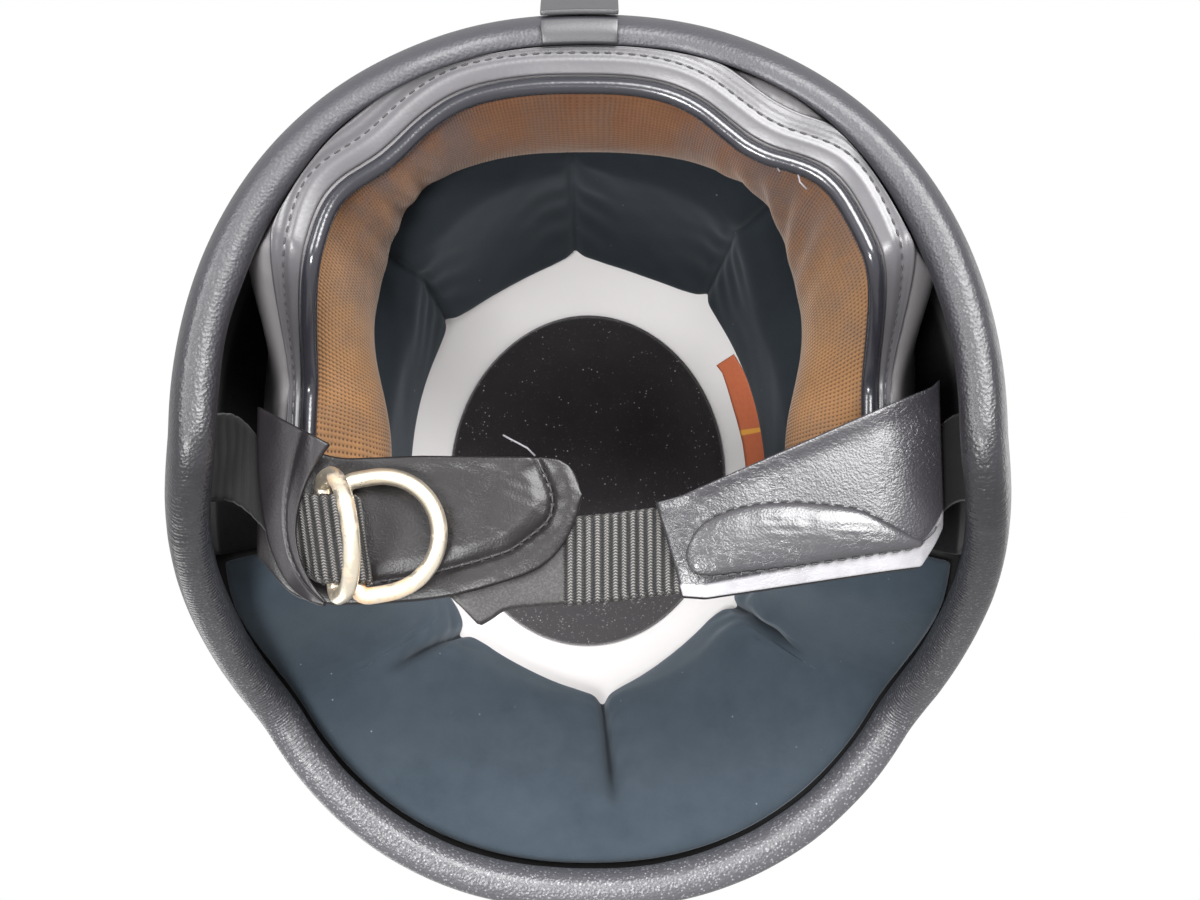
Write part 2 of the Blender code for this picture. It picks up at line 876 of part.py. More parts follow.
def build_neck_roll():
    def outer(along, across):
        return roll_back(roll_turn(along), across)

    def inner(along, across):
        return roll_front(roll_turn(along), across)

    slab("neck_roll", roll_columns, 7, outer, inner, roll_vinyl)

    def facing_back(along, across):
        share = blend(facing_inset_share, 1.0, across)
        return roll_front(roll_turn(along), share, soft_gap)

    def facing_front(along, across):
        share = blend(facing_inset_share, 1.0, across)
        crown = facing_crown * math.sin(math.pi * across) ** 0.7 if 0 < across < 1 else 0.0
        return roll_front(roll_turn(along), share, soft_gap + facing_thickness * 0.6 + crown)

    slab("neck_roll_mesh", roll_columns, 5, facing_back, facing_front, brown_mesh)

    def band_back(along, across):
        share = blend(band_start_share, band_end_share, across)
        return roll_back(roll_turn(along), share, band_gap)

    def band_front(along, across):
        share = blend(band_start_share, band_end_share, across)
        return roll_back(roll_turn(along), share, band_gap + band_thickness)

    slab("neck_roll_band", roll_columns, 2, band_back, band_front, roll_vinyl)

    drop = piping_diameter / 2
    points = []
    for step in range(roll_columns + 1):
        angle = roll_turn(step / roll_columns)
        point = roll_line(angle, -drop - soft_gap)
        point.z = roll_bottom(angle) - drop * 0.6
        points.append(point)
    wire("neck_roll_piping", points, piping_diameter, roll_vinyl)


def ear_place(angle, across, depth):
    # up the inside of the shell from the trim, then in under the foam's edge
    edge = foam_edge(angle)
    if across <= 0.5:
        low = above_rim(angle, ear_rim_clearance)
        return under_shell(angle, blend(low, edge - depth, across * 2), shell_wall + depth)
    foam_depth = (shell_point(angle, edge) - space_point(angle, edge)).length
    start = math.asin(depth / foam_depth * 1.5) / (math.pi / 2) * foam_turn_share
    return off_foam(angle, blend(start, ear_foam_end_share, across * 2 - 1), depth)


def build_ear_lining(side, word):
    def place(along, across, depth):
        point = ear_place(blend(ear_lining_rear, ear_lining_front, along), across, depth)
        point.x *= side
        return point

    def outer(along, across):
        return place(along, across, ear_gap)

    def inner(along, across):
        return place(along, across, ear_gap + ear_lining_thickness)

    lining = slab(f"ear_lining_{word}", 10, 8, outer, inner, side_black)
    half = webbing_width / 2 + hanger_leg + ear_window_margin
    low = (side * shell_width * 0.4, hanger_offset - half, 0)
    high = (side * shell_width, hanger_offset + half, rivet_height + hanger_top + ear_window_margin)
    return cut(lining, box_cutter(f"hanger_window_{word}", low, high))


# Hangers and rivets

rivet_outside = shell_point(rivet_angle, rivet_height).x
rivet_inside = under_shell(rivet_angle, rivet_height, shell_wall).x
plate_middle = rivet_inside - hanger_stand_off - hanger_plate / 2
bar_reach = loop_gap + webbing_thickness + math.hypot(hanger_plate, hanger_bar) / 2
bar_middle = under_shell(bar_angle, bar_height, shell_wall).x - bar_reach - hanger_stand_off


def build_hanger(side, word):
    half = hanger_plate / 2
    bar_bottom = bar_height - hanger_bar / 2
    step_low = bar_height + hanger_step_low
    step_high = bar_height + hanger_step_high
    top = rivet_height + hanger_top
    middle = [(bar_middle, bar_bottom), (bar_middle, step_low), (plate_middle, step_high), (plate_middle, top)]
    outline = [(x + half, z) for x, z in middle] + [(x - half, z) for x, z in reversed(middle)]
    loop = [(side * x, z) for x, z in outline]
    plate = flat_outline(f"strap_hanger_{word}", [loop], webbing_width / 2 + hanger_leg, plated_steel)
    for vert in plate.data.vertices:
        vert.co.y += hanger_offset
    slot_half = webbing_width / 2 + touch_gap
    slot_low = bar_height + hanger_bar / 2
    low = (side * bar_middle - overrun, hanger_offset - slot_half, slot_low)
    high = (side * bar_middle + overrun, hanger_offset + slot_half, slot_low + hanger_slot)
    cut(plate, box_cutter(f"webbing_slot_{word}", low, high))
    start = Vector((side * (plate_middle - overrun), hanger_offset, rivet_height))
    end = Vector((side * (plate_middle + overrun), hanger_offset, rivet_height))
    return cut(plate, rod_cutter(f"plate_hole_{word}", rivet_shank + 2 * rivet_hole_gap, start, end))


def build_rivet(side, word):
    shank = rivet_shank / 2
    head_seat = rivet_outside + touch_gap
    washer_seat = plate_middle - hanger_plate / 2 - touch_gap
    tail_seat = washer_seat - washer_thickness - touch_gap
    head = [
        (rivet_head / 2 * math.cos(turn), head_seat + rivet_head_height * math.sin(turn))
        for turn in np.linspace(math.pi / 2 * 0.9, 0, 4)
    ]
    tail = [
        (rivet_tail / 2 * math.cos(turn), tail_seat - rivet_tail_height * math.sin(turn))
        for turn in np.linspace(0, math.pi / 2 * 0.9, 3)
    ]
    profile = [*head, (shank, head_seat), (shank, tail_seat), *tail]
    turned(f"strap_rivet_{word}", profile, (0, hanger_offset, rivet_height), (side, 0, 0), plated_steel)
    hole = shank + rivet_hole_gap
    outside, near, far = washer_diameter / 2, washer_seat, washer_seat - washer_thickness
    ring(f"strap_washer_{word}", hole, outside, near, far, (0, hanger_offset, rivet_height), (side, 0, 0))


# Webbing: a ribbon seen from its edge, thick round each loop and sewn flat between them


def ribbon(name, side, middle, halves, holes, shift):
    # middle is a list of (x, z) with the half thickness at each, from the hanger inwards
    points = [Vector((x, z, 0)) for x, z in middle]
    upper, lower = [], []
    for i, point in enumerate(points):
        ahead, behind = points[min(i + 1, len(points) - 1)], points[max(i - 1, 0)]
        along = (ahead - behind).normalized()
        off = Vector((-along.y, along.x, 0)) * halves[i]
        upper.append(point - off)
        lower.append(point + off)
    outline = [(side * p.x, p.y) for p in upper + lower[::-1]]
    loops = [outline] + [[(side * x, z) for x, z in hole] for hole in holes]
    strap = flat_outline(name, loops, webbing_width / 2, webbing_black)
    for vert in strap.data.vertices:
        vert.co.y += shift(side * vert.co.x)
    return strap


def round_hole(x, z, radius, sides=16):
    turns = [2 * math.pi * i / sides for i in range(sides)]
    return [(x + radius * math.cos(t), z + radius * math.sin(t)) for t in turns]


def long_hole(first, last, height, radius, sides=8):
    loop = []
    for middle, start in ((first, -math.pi / 2), (last, math.pi / 2)):
        for i in range(sides + 1):
            turn = start + math.pi * i / sides
            loop.append((middle + radius * math.cos(turn), height + radius * math.sin(turn)))
    return loop


def loop_end(x, z, radius, half, sides=7):
    # the round end of a ribbon, from its tip to where it has its flat half thickness
    stations = []
    last = math.pi - math.asin(min(1.0, half / radius))
    for i in range(sides):
        turn = blend(math.pi * 0.06, last, i / (sides - 1))
        stations.append((x + radius * math.cos(turn), z, radius * math.sin(turn)))
    return stations


flat_half = webbing_thickness + webbing_seam_gap
ring_inside_x = bar_middle - inner_ring_reach
ring_outside_x = ring_inside_x - ring_spacing
loop_radius = ring_wire / 2 + loop_gap + webbing_thickness
bar_radius = math.hypot(hanger_plate, hanger_bar) / 2 + loop_gap
bar_loop = bar_radius + webbing_thickness
loop_start_x = ring_inside_x + loop_radius * 2.1
loop_full_x = ring_inside_x + loop_radius * 0.3


def left_half(x):
    return blend(flat_half, loop_radius, ease((loop_start_x - x) / (loop_start_x - loop_full_x)))


def left_height(x):
    start = bar_middle - bar_loop
    return blend(bar_height, ring_height, ease((start - x) / (start - loop_start_x)))


def left_shift(x):
    return hanger_offset + left_strap_shift * ease((bar_middle - bar_loop * 2 - x) / (tab_length * 0.75))


def skew_share(x):
    return ease((bar_middle - bar_loop * 2 - x) / (bar_middle - bar_loop * 2 - ring_inside_x - loop_radius))


def build_left_webbing():
    stations = loop_end(bar_middle, bar_height, bar_loop, flat_half)
    start_x = stations[-1][0]
    for share in np.linspace(0.08, 1, 11):
        x = blend(start_x, loop_full_x, share)
        stations.append((x, left_height(x), left_half(x)))
    for turn in np.linspace(math.pi / 2, math.pi * 0.06, 6):
        stations.append((ring_outside_x - loop_radius * math.cos(turn), ring_height, loop_radius * math.sin(turn)))
    middle = [(x, z) for x, z, _ in stations]
    halves = [half for _, _, half in stations]
    holes = [
        round_hole(bar_middle, bar_height, bar_radius),
        long_hole(ring_inside_x, ring_outside_x, ring_height, ring_wire / 2 + loop_gap),
    ]
    webbing = ribbon("strap_webbing_left", 1, middle, halves, holes, left_shift)
    # the end that holds the rings lies a little askew
    for vert in webbing.data.vertices:
        off_middle = vert.co.y - left_shift(vert.co.x)
        vert.co.x += off_middle * math.tan(ring_skew) * skew_share(vert.co.x)
    return webbing


def right_shift(x):
    start = bar_middle - bar_loop
    line = right_strap_start - right_strap_slope * max(0.0, start - max(x, right_strap_bend))
    line -= right_tail_slope * max(0.0, right_strap_bend - x)
    return blend(hanger_offset, line, ease((start - x) / sleeve_start))


def right_height(x):
    # the strap's middle height at a distance from the centre line, measured on its own side
    fall = ease((bar_middle - x) / (bar_middle * 0.28))
    rise = ease((flap_tip_x() + bar_middle * 0.3 - x) / (bar_middle * 0.26))
    return blend(blend(bar_height, right_flat_height, fall), right_tail_height, rise)


def flap_tip_x():
    # where the left flap ends, as a distance on the right strap's own side
    return -(bar_middle - tab_start - flap_length)


def build_right_webbing():
    stations = loop_end(bar_middle, bar_height, bar_loop, flat_half)
    start_x = stations[-1][0]
    end_x = bar_middle - right_webbing_length
    for share in np.linspace(0.03, 0.97, 20):
        x = blend(start_x, end_x, share)
        stations.append((x, right_height(x), flat_half))
    stations.append((end_x, right_height(end_x), flat_half * 0.45))
    middle = [(x, z) for x, z, _ in stations]
    halves = [half for _, _, half in stations]
    holes = [round_hole(bar_middle, bar_height, bar_radius)]
    webbing = ribbon("strap_webbing_right", -1, middle, halves, holes, right_shift)
    # the folded end narrows towards its front edge
    taper = webbing_width * tail_taper_share
    for vert in webbing.data.vertices:
        near = ease((end_x + taper + vert.co.x) / taper + 1) if vert.co.x > -end_x - taper * 2 else 0.0
        front = right_shift(-vert.co.x) - webbing_width / 2
        vert.co.y = blend(vert.co.y, front, near * tail_point_share)
    return webbing


# Leather


def build_tab():
    # under the webbing, cut away in a curve where the rings come out
    start = bar_middle - tab_start
    ends = start - tab_length * 0.55
    front = hanger_offset + left_strap_shift - tab_width * 0.335
    rear = front + tab_width
    outer_edge = [(ends, front, 0), (start, front + tab_width * 0.06, 0), (start, rear, 0)]
    inner_edge = [
        (ends - tab_length * 0.02, front + tab_width * 0.02, 0),
        (start - tab_length * 0.08, blend(front, rear, 0.36), 0),
        (ends - tab_length * 0.02, blend(front, rear, 0.79), 0),
    ]

    def place(along, across, drop):
        point = bezier(outer_edge, across).lerp(bezier(inner_edge, across), along)
        # clear of the webbing, also where its askew end thickens round the rings
        near = point.x - webbing_width / 2 * math.tan(ring_skew)
        point.z = left_height(point.x) - left_half(near) - soft_gap - drop
        return point

    def upper(along, across):
        return place(along, across, 0)

    def lower(along, across):
        return place(along, across, leather_thickness)

    return slab("strap_tab_left", 4, 10, upper, lower, leather)


flap_top_shares = (
    (0.0, 1.33), (0.1, 1.1), (0.25, 1.0), (0.5, 1.02), (0.9, 1.0), (0.96, 0.97), (0.99, 0.88), (1.0, 0.8),
)
flap_front_shares = (
    (0.0, 0.35), (0.1, 0.04), (0.22, -0.02), (0.5, 0.0), (0.78, 0.2), (0.93, 0.42), (0.98, 0.6), (1.0, 0.7),
)


def smooth_table(table, share):
    # a soft line through the table's points
    shares, values = zip(*table)
    spread = 0.05 * (1 - share)
    taps = np.linspace(-spread, spread, 9)
    return float(np.mean([np.interp(share + tap, shares, values) for tap in taps]))


def flap_height(x):
    # clear of the loop and of the rings when they lie flat against it
    over_loop = ring_height + loop_radius + soft_gap
    start = left_height(x) + flat_half + soft_gap
    level = blend(start, over_loop, ease((bar_middle - tab_start - x) / (tab_length * 0.5)))
    past = ease((ring_outside_x - loop_radius * 2 - x) / (flap_length * 0.55))
    return level - (loop_radius - ring_wire / 2) * 1.3 * past


def build_flap():
    start = bar_middle - tab_start
    front = hanger_offset + left_strap_shift - flap_width * 0.41

    def place(along, across, lift):
        reach = math.sin(math.pi / 2 * along)
        x = start - flap_length * reach
        low = front + flap_width * smooth_table(flap_front_shares, reach)
        high = front + flap_width * smooth_table(flap_top_shares, reach)
        return Vector((x, blend(low, high, across), flap_height(x) + lift))

    def lower(along, across):
        return place(along, across, 0)

    def upper(along, across):
        return place(along, across, leather_thickness)

    return slab("chin_flap_left", 15, 5, upper, lower, leather)


def sleeve_edge(along):
    # the sleeve's front and rear edges at a share of its length from the hanger
    x = bar_middle - sleeve_start - sleeve_length * along
    width = blend(sleeve_wide, sleeve_narrow, along)
    middle = right_shift(x)
    corner = sleeve_corner_width * max(0.0, 1 - along * sleeve_length / sleeve_corner_length)
    return x, middle - width / 2 + corner, middle + width / 2


def build_sleeve():
    def place(along, across, lift):
        x, low, high = sleeve_edge(along)
        slant = sleeve_narrow * 0.28 * (across - 0.6) * along
        return Vector((slant - x, blend(low, high, across), right_height(x - slant) + lift))

    def face_puff(across):
        return (1 - abs(across * 2 - 1) ** 3) * leather_thickness * 0.35

    def face_upper(along, across):
        return place(along, across, -flat_half - soft_gap)

    def face_lower(along, across):
        return place(along, across, -flat_half - soft_gap - leather_thickness - face_puff(across))

    slab("strap_sleeve_right", 12, 6, face_upper, face_lower, leather)

    def back_lower(along, across):
        return place(along, across, flat_half + soft_gap)

    def back_upper(along, across):
        return place(along, across, flat_half + soft_gap + leather_thickness)

    slab("strap_backing_right", 12, 4, back_upper, back_lower, leather)

    # a stuffed leaf of the same leather, sewn under the sleeve
    bm = bmesh.new()
    bmesh.ops.create_uvsphere(bm, u_segments=22, v_segments=8, radius=1)
    for vert in bm.verts:
        unit = vert.co.copy()
        share = (1 + unit.x) / 2
        x, low, high = sleeve_edge((patch_start + patch_length * share) / sleeve_length)
        half = math.sqrt(max(merge_distance, 1 - unit.x * unit.x))
        front, rear = smooth_table(patch_front_shares, share), smooth_table(patch_rear_shares, share)
        across = blend(front, rear, (1 + unit.y / half) / 2)
        seat = right_height(x) - flat_half - soft_gap * 2 - leather_thickness - face_puff(across)
        vert.co = (-x, blend(low, high, across), seat - patch_crown * max(0.0, -unit.z) ** 0.7)
    finish_mesh(bm, "strap_pad_right", leather, math.radians(60))


# D-rings


def ring_path(bar_x, tilt):
    # the bar lies in the webbing loop, askew like it, and the bow swings about it
    half = ring_inside / 2 + ring_wire / 2
    middle_y = hanger_offset + left_strap_shift
    straight = ring_reach - half
    flat = []
    for i in range(13):
        turn = math.pi * i / 12
        flat.append((straight + half * math.sin(turn), half * math.cos(turn)))
    flat += [(ring_corner * 0.35, -half), (0.0, -half + ring_corner * 0.35)]
    flat += [(0.0, share * half) for share in (-0.4, 0.4)]
    flat += [(0.0, half - ring_corner * 0.35), (ring_corner * 0.35, half)]
    turn = Matrix.Rotation(-ring_skew, 3, "Z")
    bar = Vector((bar_x, middle_y, ring_height))
    swung = [Vector((-reach * math.cos(tilt), across, -reach * math.sin(tilt))) for reach, across in flat]
    return [bar + turn @ spot for spot in swung]


def build_rings():
    for name, bar_x, tilt in (
        ("d_ring_inner", ring_inside_x, inner_ring_tilt),
        ("d_ring_outer", ring_outside_x, outer_ring_tilt),
    ):
        ring_mesh = wire(name, ring_path(bar_x, tilt), ring_wire, worn_nickel, cyclic=True, resolution=3)
        ring_mesh.data.shade_smooth()


# Goggle strap keeper


def rear_spot(across, height, stand_off):
    # a point behind the shell, or inside it, a distance across from the keeper's middle line
    x = keeper_offset + across
    turns = np.linspace(-rear_lift_end, rear_lift_end, 41)
    angle = float(np.interp(x, [shell_point(turn, height).x for turn in turns], turns))
    return shell_point(angle, height) + shell_normal(angle, height) * stand_off, angle


def keeper_strip(name, lines, widths, material):
    # lines gives the strip's middle at a share across it, as points that run along it
    last = len(widths) - 1
    courses = {share: lines((share - 0.5) * keeper_width) for share in (0, 1 / 3, 2 / 3, 1)}

    def place(along, across, lift):
        i = round(along * last)
        course = courses[min(courses, key=lambda share: abs(share - across))]
        run = (course[min(i + 1, last)] - course[max(i - 1, 0)]).normalized()
        x = blend(keeper_offset, course[i].x, widths[i])
        point = Vector((x, course[i].y, course[i].z))
        return point + Vector((0, run.z, -run.y)) * lift

    def outer(along, across):
        return place(along, across, keeper_thickness / 2)

    def inner(along, across):
        return place(along, across, -keeper_thickness / 2)

    return slab(name, last, 3, outer, inner, material)


def trim_wrap(across):
    # points round the rear of the trim, clear of it, from its inner side to its outer side
    _, angle = rear_spot(across, rim_height(0), 0.0)
    frame = rim_frame(angle)
    around = trim_section()[::-1][:10]
    around = [Vector((side, along, 0)) for side, along in around]
    wrapped = []
    for before, spot, after in zip(around, around[1:], around[2:]):
        run = (after - before).normalized()
        spot = spot + Vector((run.y, -run.x, 0)) * keeper_gap
        wrapped.append(beside_rim(frame, spot.x, spot.y))
    return wrapped


keeper_gap = touch_gap + keeper_thickness / 2


def keeper_hinge():
    return rear_spot(0.0, keeper_hinge_height, trim_outer + keeper_gap)[0]


def build_keeper():
    shares = np.linspace(0, 1, 9)

    def flap_line(across):
        line = []
        for share in shares:
            height = blend(keeper_hinge_height, keeper_hinge_height + keeper_length, share)
            stand = blend(trim_outer + keeper_gap, keeper_stand_off, ease(share * 2.2))
            line.append(rear_spot(across, height, stand)[0])
        return line

    rounding = [1 - 0.45 * ease((share - 0.86) / 0.14) for share in shares]
    keeper_strip("goggle_strap_flap", flap_line, rounding, leather)

    # the fixed root runs down the inside of the shell, under the trim and ends below the flap's fold
    def root_line(across):
        top = root_rivet_height + keeper_width / 3
        heights = (top, blend(top, root_rivet_height, 1.7))
        inside = [rear_spot(across, height, -shell_wall - keeper_gap - soft_gap)[0] for height in heights]
        return inside + trim_wrap(across)

    strap = keeper_strip("goggle_strap_root", root_line, [1.0] * len(root_line(0.0)), leather)

    point, _ = rear_spot(0.0, root_rivet_height, 0.0)
    normal = shell_normal(0, root_rivet_height)
    hole = root_rivet_shank + 2 * rivet_hole_gap
    cut(strap, rod_cutter("root_hole", hole, point, point - normal * hole * 3))
    outside, inside = touch_gap, -shell_wall - keeper_thickness - 3 * touch_gap - soft_gap
    shank, head = root_rivet_shank / 2, root_rivet_head / 2
    profile = [
        (head * 0.7, outside + root_rivet_head_height),
        (head, outside + root_rivet_head_height * 0.4),
        (head, outside),
        (shank, outside),
        (shank, inside),
        (head, inside),
        (head, inside - root_rivet_head_height * 0.4),
        (head * 0.7, inside - root_rivet_head_height),
    ]
    turned("goggle_strap_rivet", profile, point, normal, plated_steel)


def build_snaps():
    def stud(name, point, normal, material=plated_steel):
        base, post = stud_base / 2, stud_post / 2
        profile = [
            (post * 0.75, stud_height),
            (post, stud_height * 0.85),
            (post, stud_height * 0.6),
            (post * 0.8, stud_base_height * 1.3),
            (base, stud_base_height),
            (base, 0.0),
        ]
        turned(name, profile, point + normal * touch_gap, normal, material)

    point, normal = shell_point(0, snap_height), shell_normal(0, snap_height)
    point.x += keeper_offset
    stud("goggle_snap_stud", point, normal)
    brow_angles = {"left": math.pi - brow_snap_angle, "centre": math.pi, "right": brow_snap_angle - math.pi}
    for word, angle in brow_angles.items():
        stud(f"brow_snap_{word}", shell_point(angle, brow_snap_height), shell_normal(angle, brow_snap_height))

    seat = keeper_stand_off + keeper_thickness / 2 + touch_gap
    cap = [
        (snap_cap_diameter / 2 * math.cos(turn), seat + snap_cap_height * (0.35 + 0.65 * math.sin(turn)))
        for turn in np.linspace(math.pi / 2 * 0.93, 0, 5)
    ]
    turned("goggle_snap_cap", [*cap, (snap_cap_diameter / 2, seat)], point, normal, plated_steel)
    inside = keeper_stand_off - keeper_thickness / 2 - touch_gap
    ring(
        "goggle_snap_socket", stud_post / 2 + rivet_hole_gap, snap_socket_diameter / 2,
        inside, inside - snap_socket_height, point, normal,
    )


parts, cutters = start_file()
paint = make_material("ivory_paint", (0.84, 0.80, 0.77), 0.16, coat=0.6)
trim_vinyl = make_material("trim_vinyl", (0.030, 0.029, 0.033), 0.32)
foam_white = make_material("moulded_foam", (0.80, 0.78, 0.77), 0.62)
pad_black = make_material("pad_velvet", (0.018, 0.017, 0.018), 0.95)
suede = make_material("lining_suede", (0.030, 0.045, 0.060), 0.92)
roll_vinyl = make_material("roll_vinyl", (0.032, 0.031, 0.035), 0.38)
brown_mesh = make_material("brown_mesh", (0.20, 0.105, 0.062), 0.85)
side_black = make_material("side_cloth", (0.012, 0.012, 0.014), 0.8)
plated_steel = make_material("plated_steel", (0.70, 0.69, 0.67), 0.28, metallic=1.0)
worn_nickel = make_material("worn_nickel", (0.72, 0.66, 0.54), 0.34, metallic=1.0)
webbing_black = make_material("webbing", (0.030, 0.029, 0.031), 0.7)
leather = make_material("strap_leather", (0.022, 0.021, 0.024), 0.35)

build_shell()
build_trim()
build_foam()
build_crown_pad()
rear_turn = lining_join - lining_join_gap
front_turn = math.pi - lining_join - lining_join_gap
build_lining("comfort_lining_rear", 0, rear_turn, lining_rear_start_share, 44, 7)
build_lining("comfort_lining_front", math.pi, front_turn, lining_front_start_share, 36, 9)
build_neck_roll()
for side, word in ((1, "left"), (-1, "right")):
    build_ear_lining(side, word)
    build_hanger(side, word)
    build_rivet(side, word)
build_left_webbing()
build_right_webbing()
build_tab()
build_flap()
build_sleeve()
build_rings()
build_keeper()
build_snaps()
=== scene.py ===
import math

import bpy
import numpy as np
from mathutils import Matrix, Vector


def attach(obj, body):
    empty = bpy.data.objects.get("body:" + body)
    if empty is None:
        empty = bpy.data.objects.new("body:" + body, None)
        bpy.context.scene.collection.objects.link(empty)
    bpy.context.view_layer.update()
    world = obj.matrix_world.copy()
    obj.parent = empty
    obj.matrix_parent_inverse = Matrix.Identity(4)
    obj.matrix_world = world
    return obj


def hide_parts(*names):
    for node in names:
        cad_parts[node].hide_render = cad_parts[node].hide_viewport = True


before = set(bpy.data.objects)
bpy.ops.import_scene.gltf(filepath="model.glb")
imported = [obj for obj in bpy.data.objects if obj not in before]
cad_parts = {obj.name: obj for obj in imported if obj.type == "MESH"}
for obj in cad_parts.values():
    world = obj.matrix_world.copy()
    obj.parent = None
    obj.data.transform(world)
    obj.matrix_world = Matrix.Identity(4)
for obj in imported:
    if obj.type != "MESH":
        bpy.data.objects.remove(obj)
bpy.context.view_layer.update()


# Working with pieces


def deselect():
    if bpy.context.object and bpy.context.object.mode != "OBJECT":
        bpy.ops.object.mode_set(mode="OBJECT")
    bpy.ops.object.select_all(action="DESELECT")


def take(*pieces):
    deselect()
    for piece in pieces:
        piece.select_set(True)
    bpy.context.view_layer.objects.active = pieces[0]


def started(name):
    piece = bpy.context.object
    piece.name = name
    piece.data.name = name
    return piece


def readSpots(piece):
    flat = np.zeros(len(piece.data.vertices) * 3, np.float32)
    piece.data.vertices.foreach_get("co", flat)
    return flat.reshape(-1, 3).astype(float)


def moveSpots(piece, spots):
    piece.data.vertices.foreach_set("co", np.asarray(spots, np.float32).ravel())
    piece.data.update()


def applyAll(piece):
    take(piece)
    for change in list(piece.modifiers):
        bpy.ops.object.modifier_apply(modifier=change.name)


def faceOutward(weld=0.0):
    # on the active piece: corners nearer than weld are joined and every face is turned outward
    bpy.ops.object.mode_set(mode="EDIT")
    bpy.ops.mesh.select_all(action="SELECT")
    if weld:
        bpy.ops.mesh.remove_doubles(threshold=weld)
    bpy.ops.mesh.normals_make_consistent(inside=False)
    bpy.ops.object.mode_set(mode="OBJECT")


def subdivide(piece, levels):
    if levels:
        change = piece.modifiers.new("smooth", "SUBSURF")
        change.levels = change.render_levels = levels
        applyAll(piece)


def dress(piece, body, finish, *nodes, slot=None):
    take(piece)
    bpy.ops.object.shade_smooth()
    piece.data.materials.clear()
    for one in finish if isinstance(finish, list) else [finish]:
        piece.data.materials.append(one)
    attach(piece, body)
    if nodes:
        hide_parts(*nodes)
    return piece


def mapCloth(piece, shares, size):
    # a UV map in metres: shares along and across each vertex, times the cloth's size
    cloth = piece.data.uv_layers.get("cloth") or piece.data.uv_layers.new(name="cloth")
    corners = np.zeros(len(piece.data.loops), np.int32)
    piece.data.loops.foreach_get("vertex_index", corners)
    places = (np.asarray(shares) * np.array(size))[corners]
    cloth.data.foreach_set("uv", places.astype(np.float32).ravel())
    cloth.active = True


def sewnSlab(name, columns, rows, front, back, size, levels=1, rawFrom=None):
    # two sheets over the same shares, along and across from 0 to 1, bridged round their edges;
    # the edge further along than rawFrom gets the piece's second material
    sheets, shares = [], []
    for place in (front, back):
        deselect()
        bpy.ops.mesh.primitive_grid_add(x_subdivisions=columns, y_subdivisions=rows, size=1)
        sheet = started(name)
        flat = readSpots(sheet)
        share = flat[:, :2] + 0.5
        moveSpots(sheet, place(share[:, 0], share[:, 1]))
        sheets.append(sheet)
        shares.append(share)
    take(*sheets)
    bpy.ops.object.join()
    piece = started(name)
    bpy.ops.object.mode_set(mode="EDIT")
    bpy.ops.mesh.select_mode(type="EDGE")
    bpy.ops.mesh.select_all(action="DESELECT")
    bpy.ops.mesh.select_non_manifold()
    bpy.ops.mesh.bridge_edge_loops()
    faceOutward()
    shares = np.concatenate(shares)
    mapCloth(piece, shares, size)
    if rawFrom:
        half = len(shares) // 2
        for face in piece.data.polygons:
            corners = list(face.vertices)
            crosses = min(corners) < half <= max(corners)
            if crosses and shares[corners, 0].mean() > rawFrom:
                face.material_index = 1
    subdivide(piece, levels)
    return piece


def tube(name, points, radius, closed=False, sides=4):
    deselect()
    bpy.ops.curve.primitive_bezier_curve_add()
    piece = started(name)
    course = piece.data
    course.splines.clear()
    course.dimensions = "3D"
    course.bevel_depth = radius
    course.bevel_resolution = sides
    course.use_fill_caps = not closed
    line = course.splines.new("POLY")
    line.points.add(len(points) - 1)
    for spot, point in zip(line.points, points):
        spot.co = (*point, 1)
    line.use_cyclic_u = closed
    take(piece)
    bpy.ops.object.convert(target="MESH")
    faceOutward(weld=0.00001)
    return started(name)


def walked(points):
    steps = np.linalg.norm(np.diff(points, axis=0), axis=1)
    return np.concatenate([[0], np.cumsum(steps)])


def resampled(points, spacing):
    far = walked(points)
    marks = np.linspace(0, far[-1], max(2, int(round(far[-1] / spacing)) + 1))
    return np.stack([np.interp(marks, far, points[:, i]) for i in range(3)], axis=1)


def stitched(name, points, stitch):
    # one stitch is modelled, then copied along the line of points on the underside of a piece
    deselect()
    bpy.ops.mesh.primitive_uv_sphere_add(segments=8, ring_count=6, radius=0.5)
    one = started(name)
    shape = readSpots(one)
    shape[:, 0] = np.sign(shape[:, 0]) * np.abs(shape[:, 0] * 2) ** 0.6 / 2
    moveSpots(one, shape)
    pitch = stitch["length"] + stitch["gap"]
    far = walked(points)
    middles = (np.arange(int(far[-1] / pitch)) + 0.5) * pitch

    def at(marks):
        return np.stack([np.interp(marks, far, points[:, i]) for i in range(3)], axis=1)

    run = unit(at(middles + pitch * 0.3) - at(middles - pitch * 0.3))
    side = unit(np.cross([0.0, 0.0, -1.0], run))
    up = np.cross(run, side)
    centre = at(middles) + up * stitch["width"] * (0.5 - stitch["sunk"])
    size = Matrix.Diagonal((stitch["length"], stitch["width"], stitch["width"], 1))
    copies = []
    for i in range(len(middles)):
        turn = Matrix((run[i], side[i], up[i])).transposed().to_4x4()
        copy = bpy.data.objects.new(name, one.data.copy())
        copy.data.transform(Matrix.Translation(centre[i]) @ turn @ size)
        bpy.context.scene.collection.objects.link(copy)
        copies.append(copy)
    bpy.data.objects.remove(one)
    take(*copies)
    bpy.ops.object.join()
    return started(name)


# Shapes that the pieces share


def ease(share):
    share = np.clip(share, 0, 1)
    return share * share * (3 - 2 * share)


def between(start, end, share):
    return start + (end - start) * share


def unit(vectors):
    return vectors / np.linalg.norm(vectors, axis=-1, keepdims=True)


def spotsAt(x, y, z):
    return np.stack(np.broadcast_arrays(x, y, z), axis=-1).astype(float)


def bow(value, power):
    return np.sign(value) * np.abs(value) ** (2 / power)


def eggLine(angle, halfWidth, rear, front, power):
    along = np.where(np.cos(angle) > 0, rear, front)
    return halfWidth * bow(np.sin(angle), power), along * bow(np.cos(angle), power)


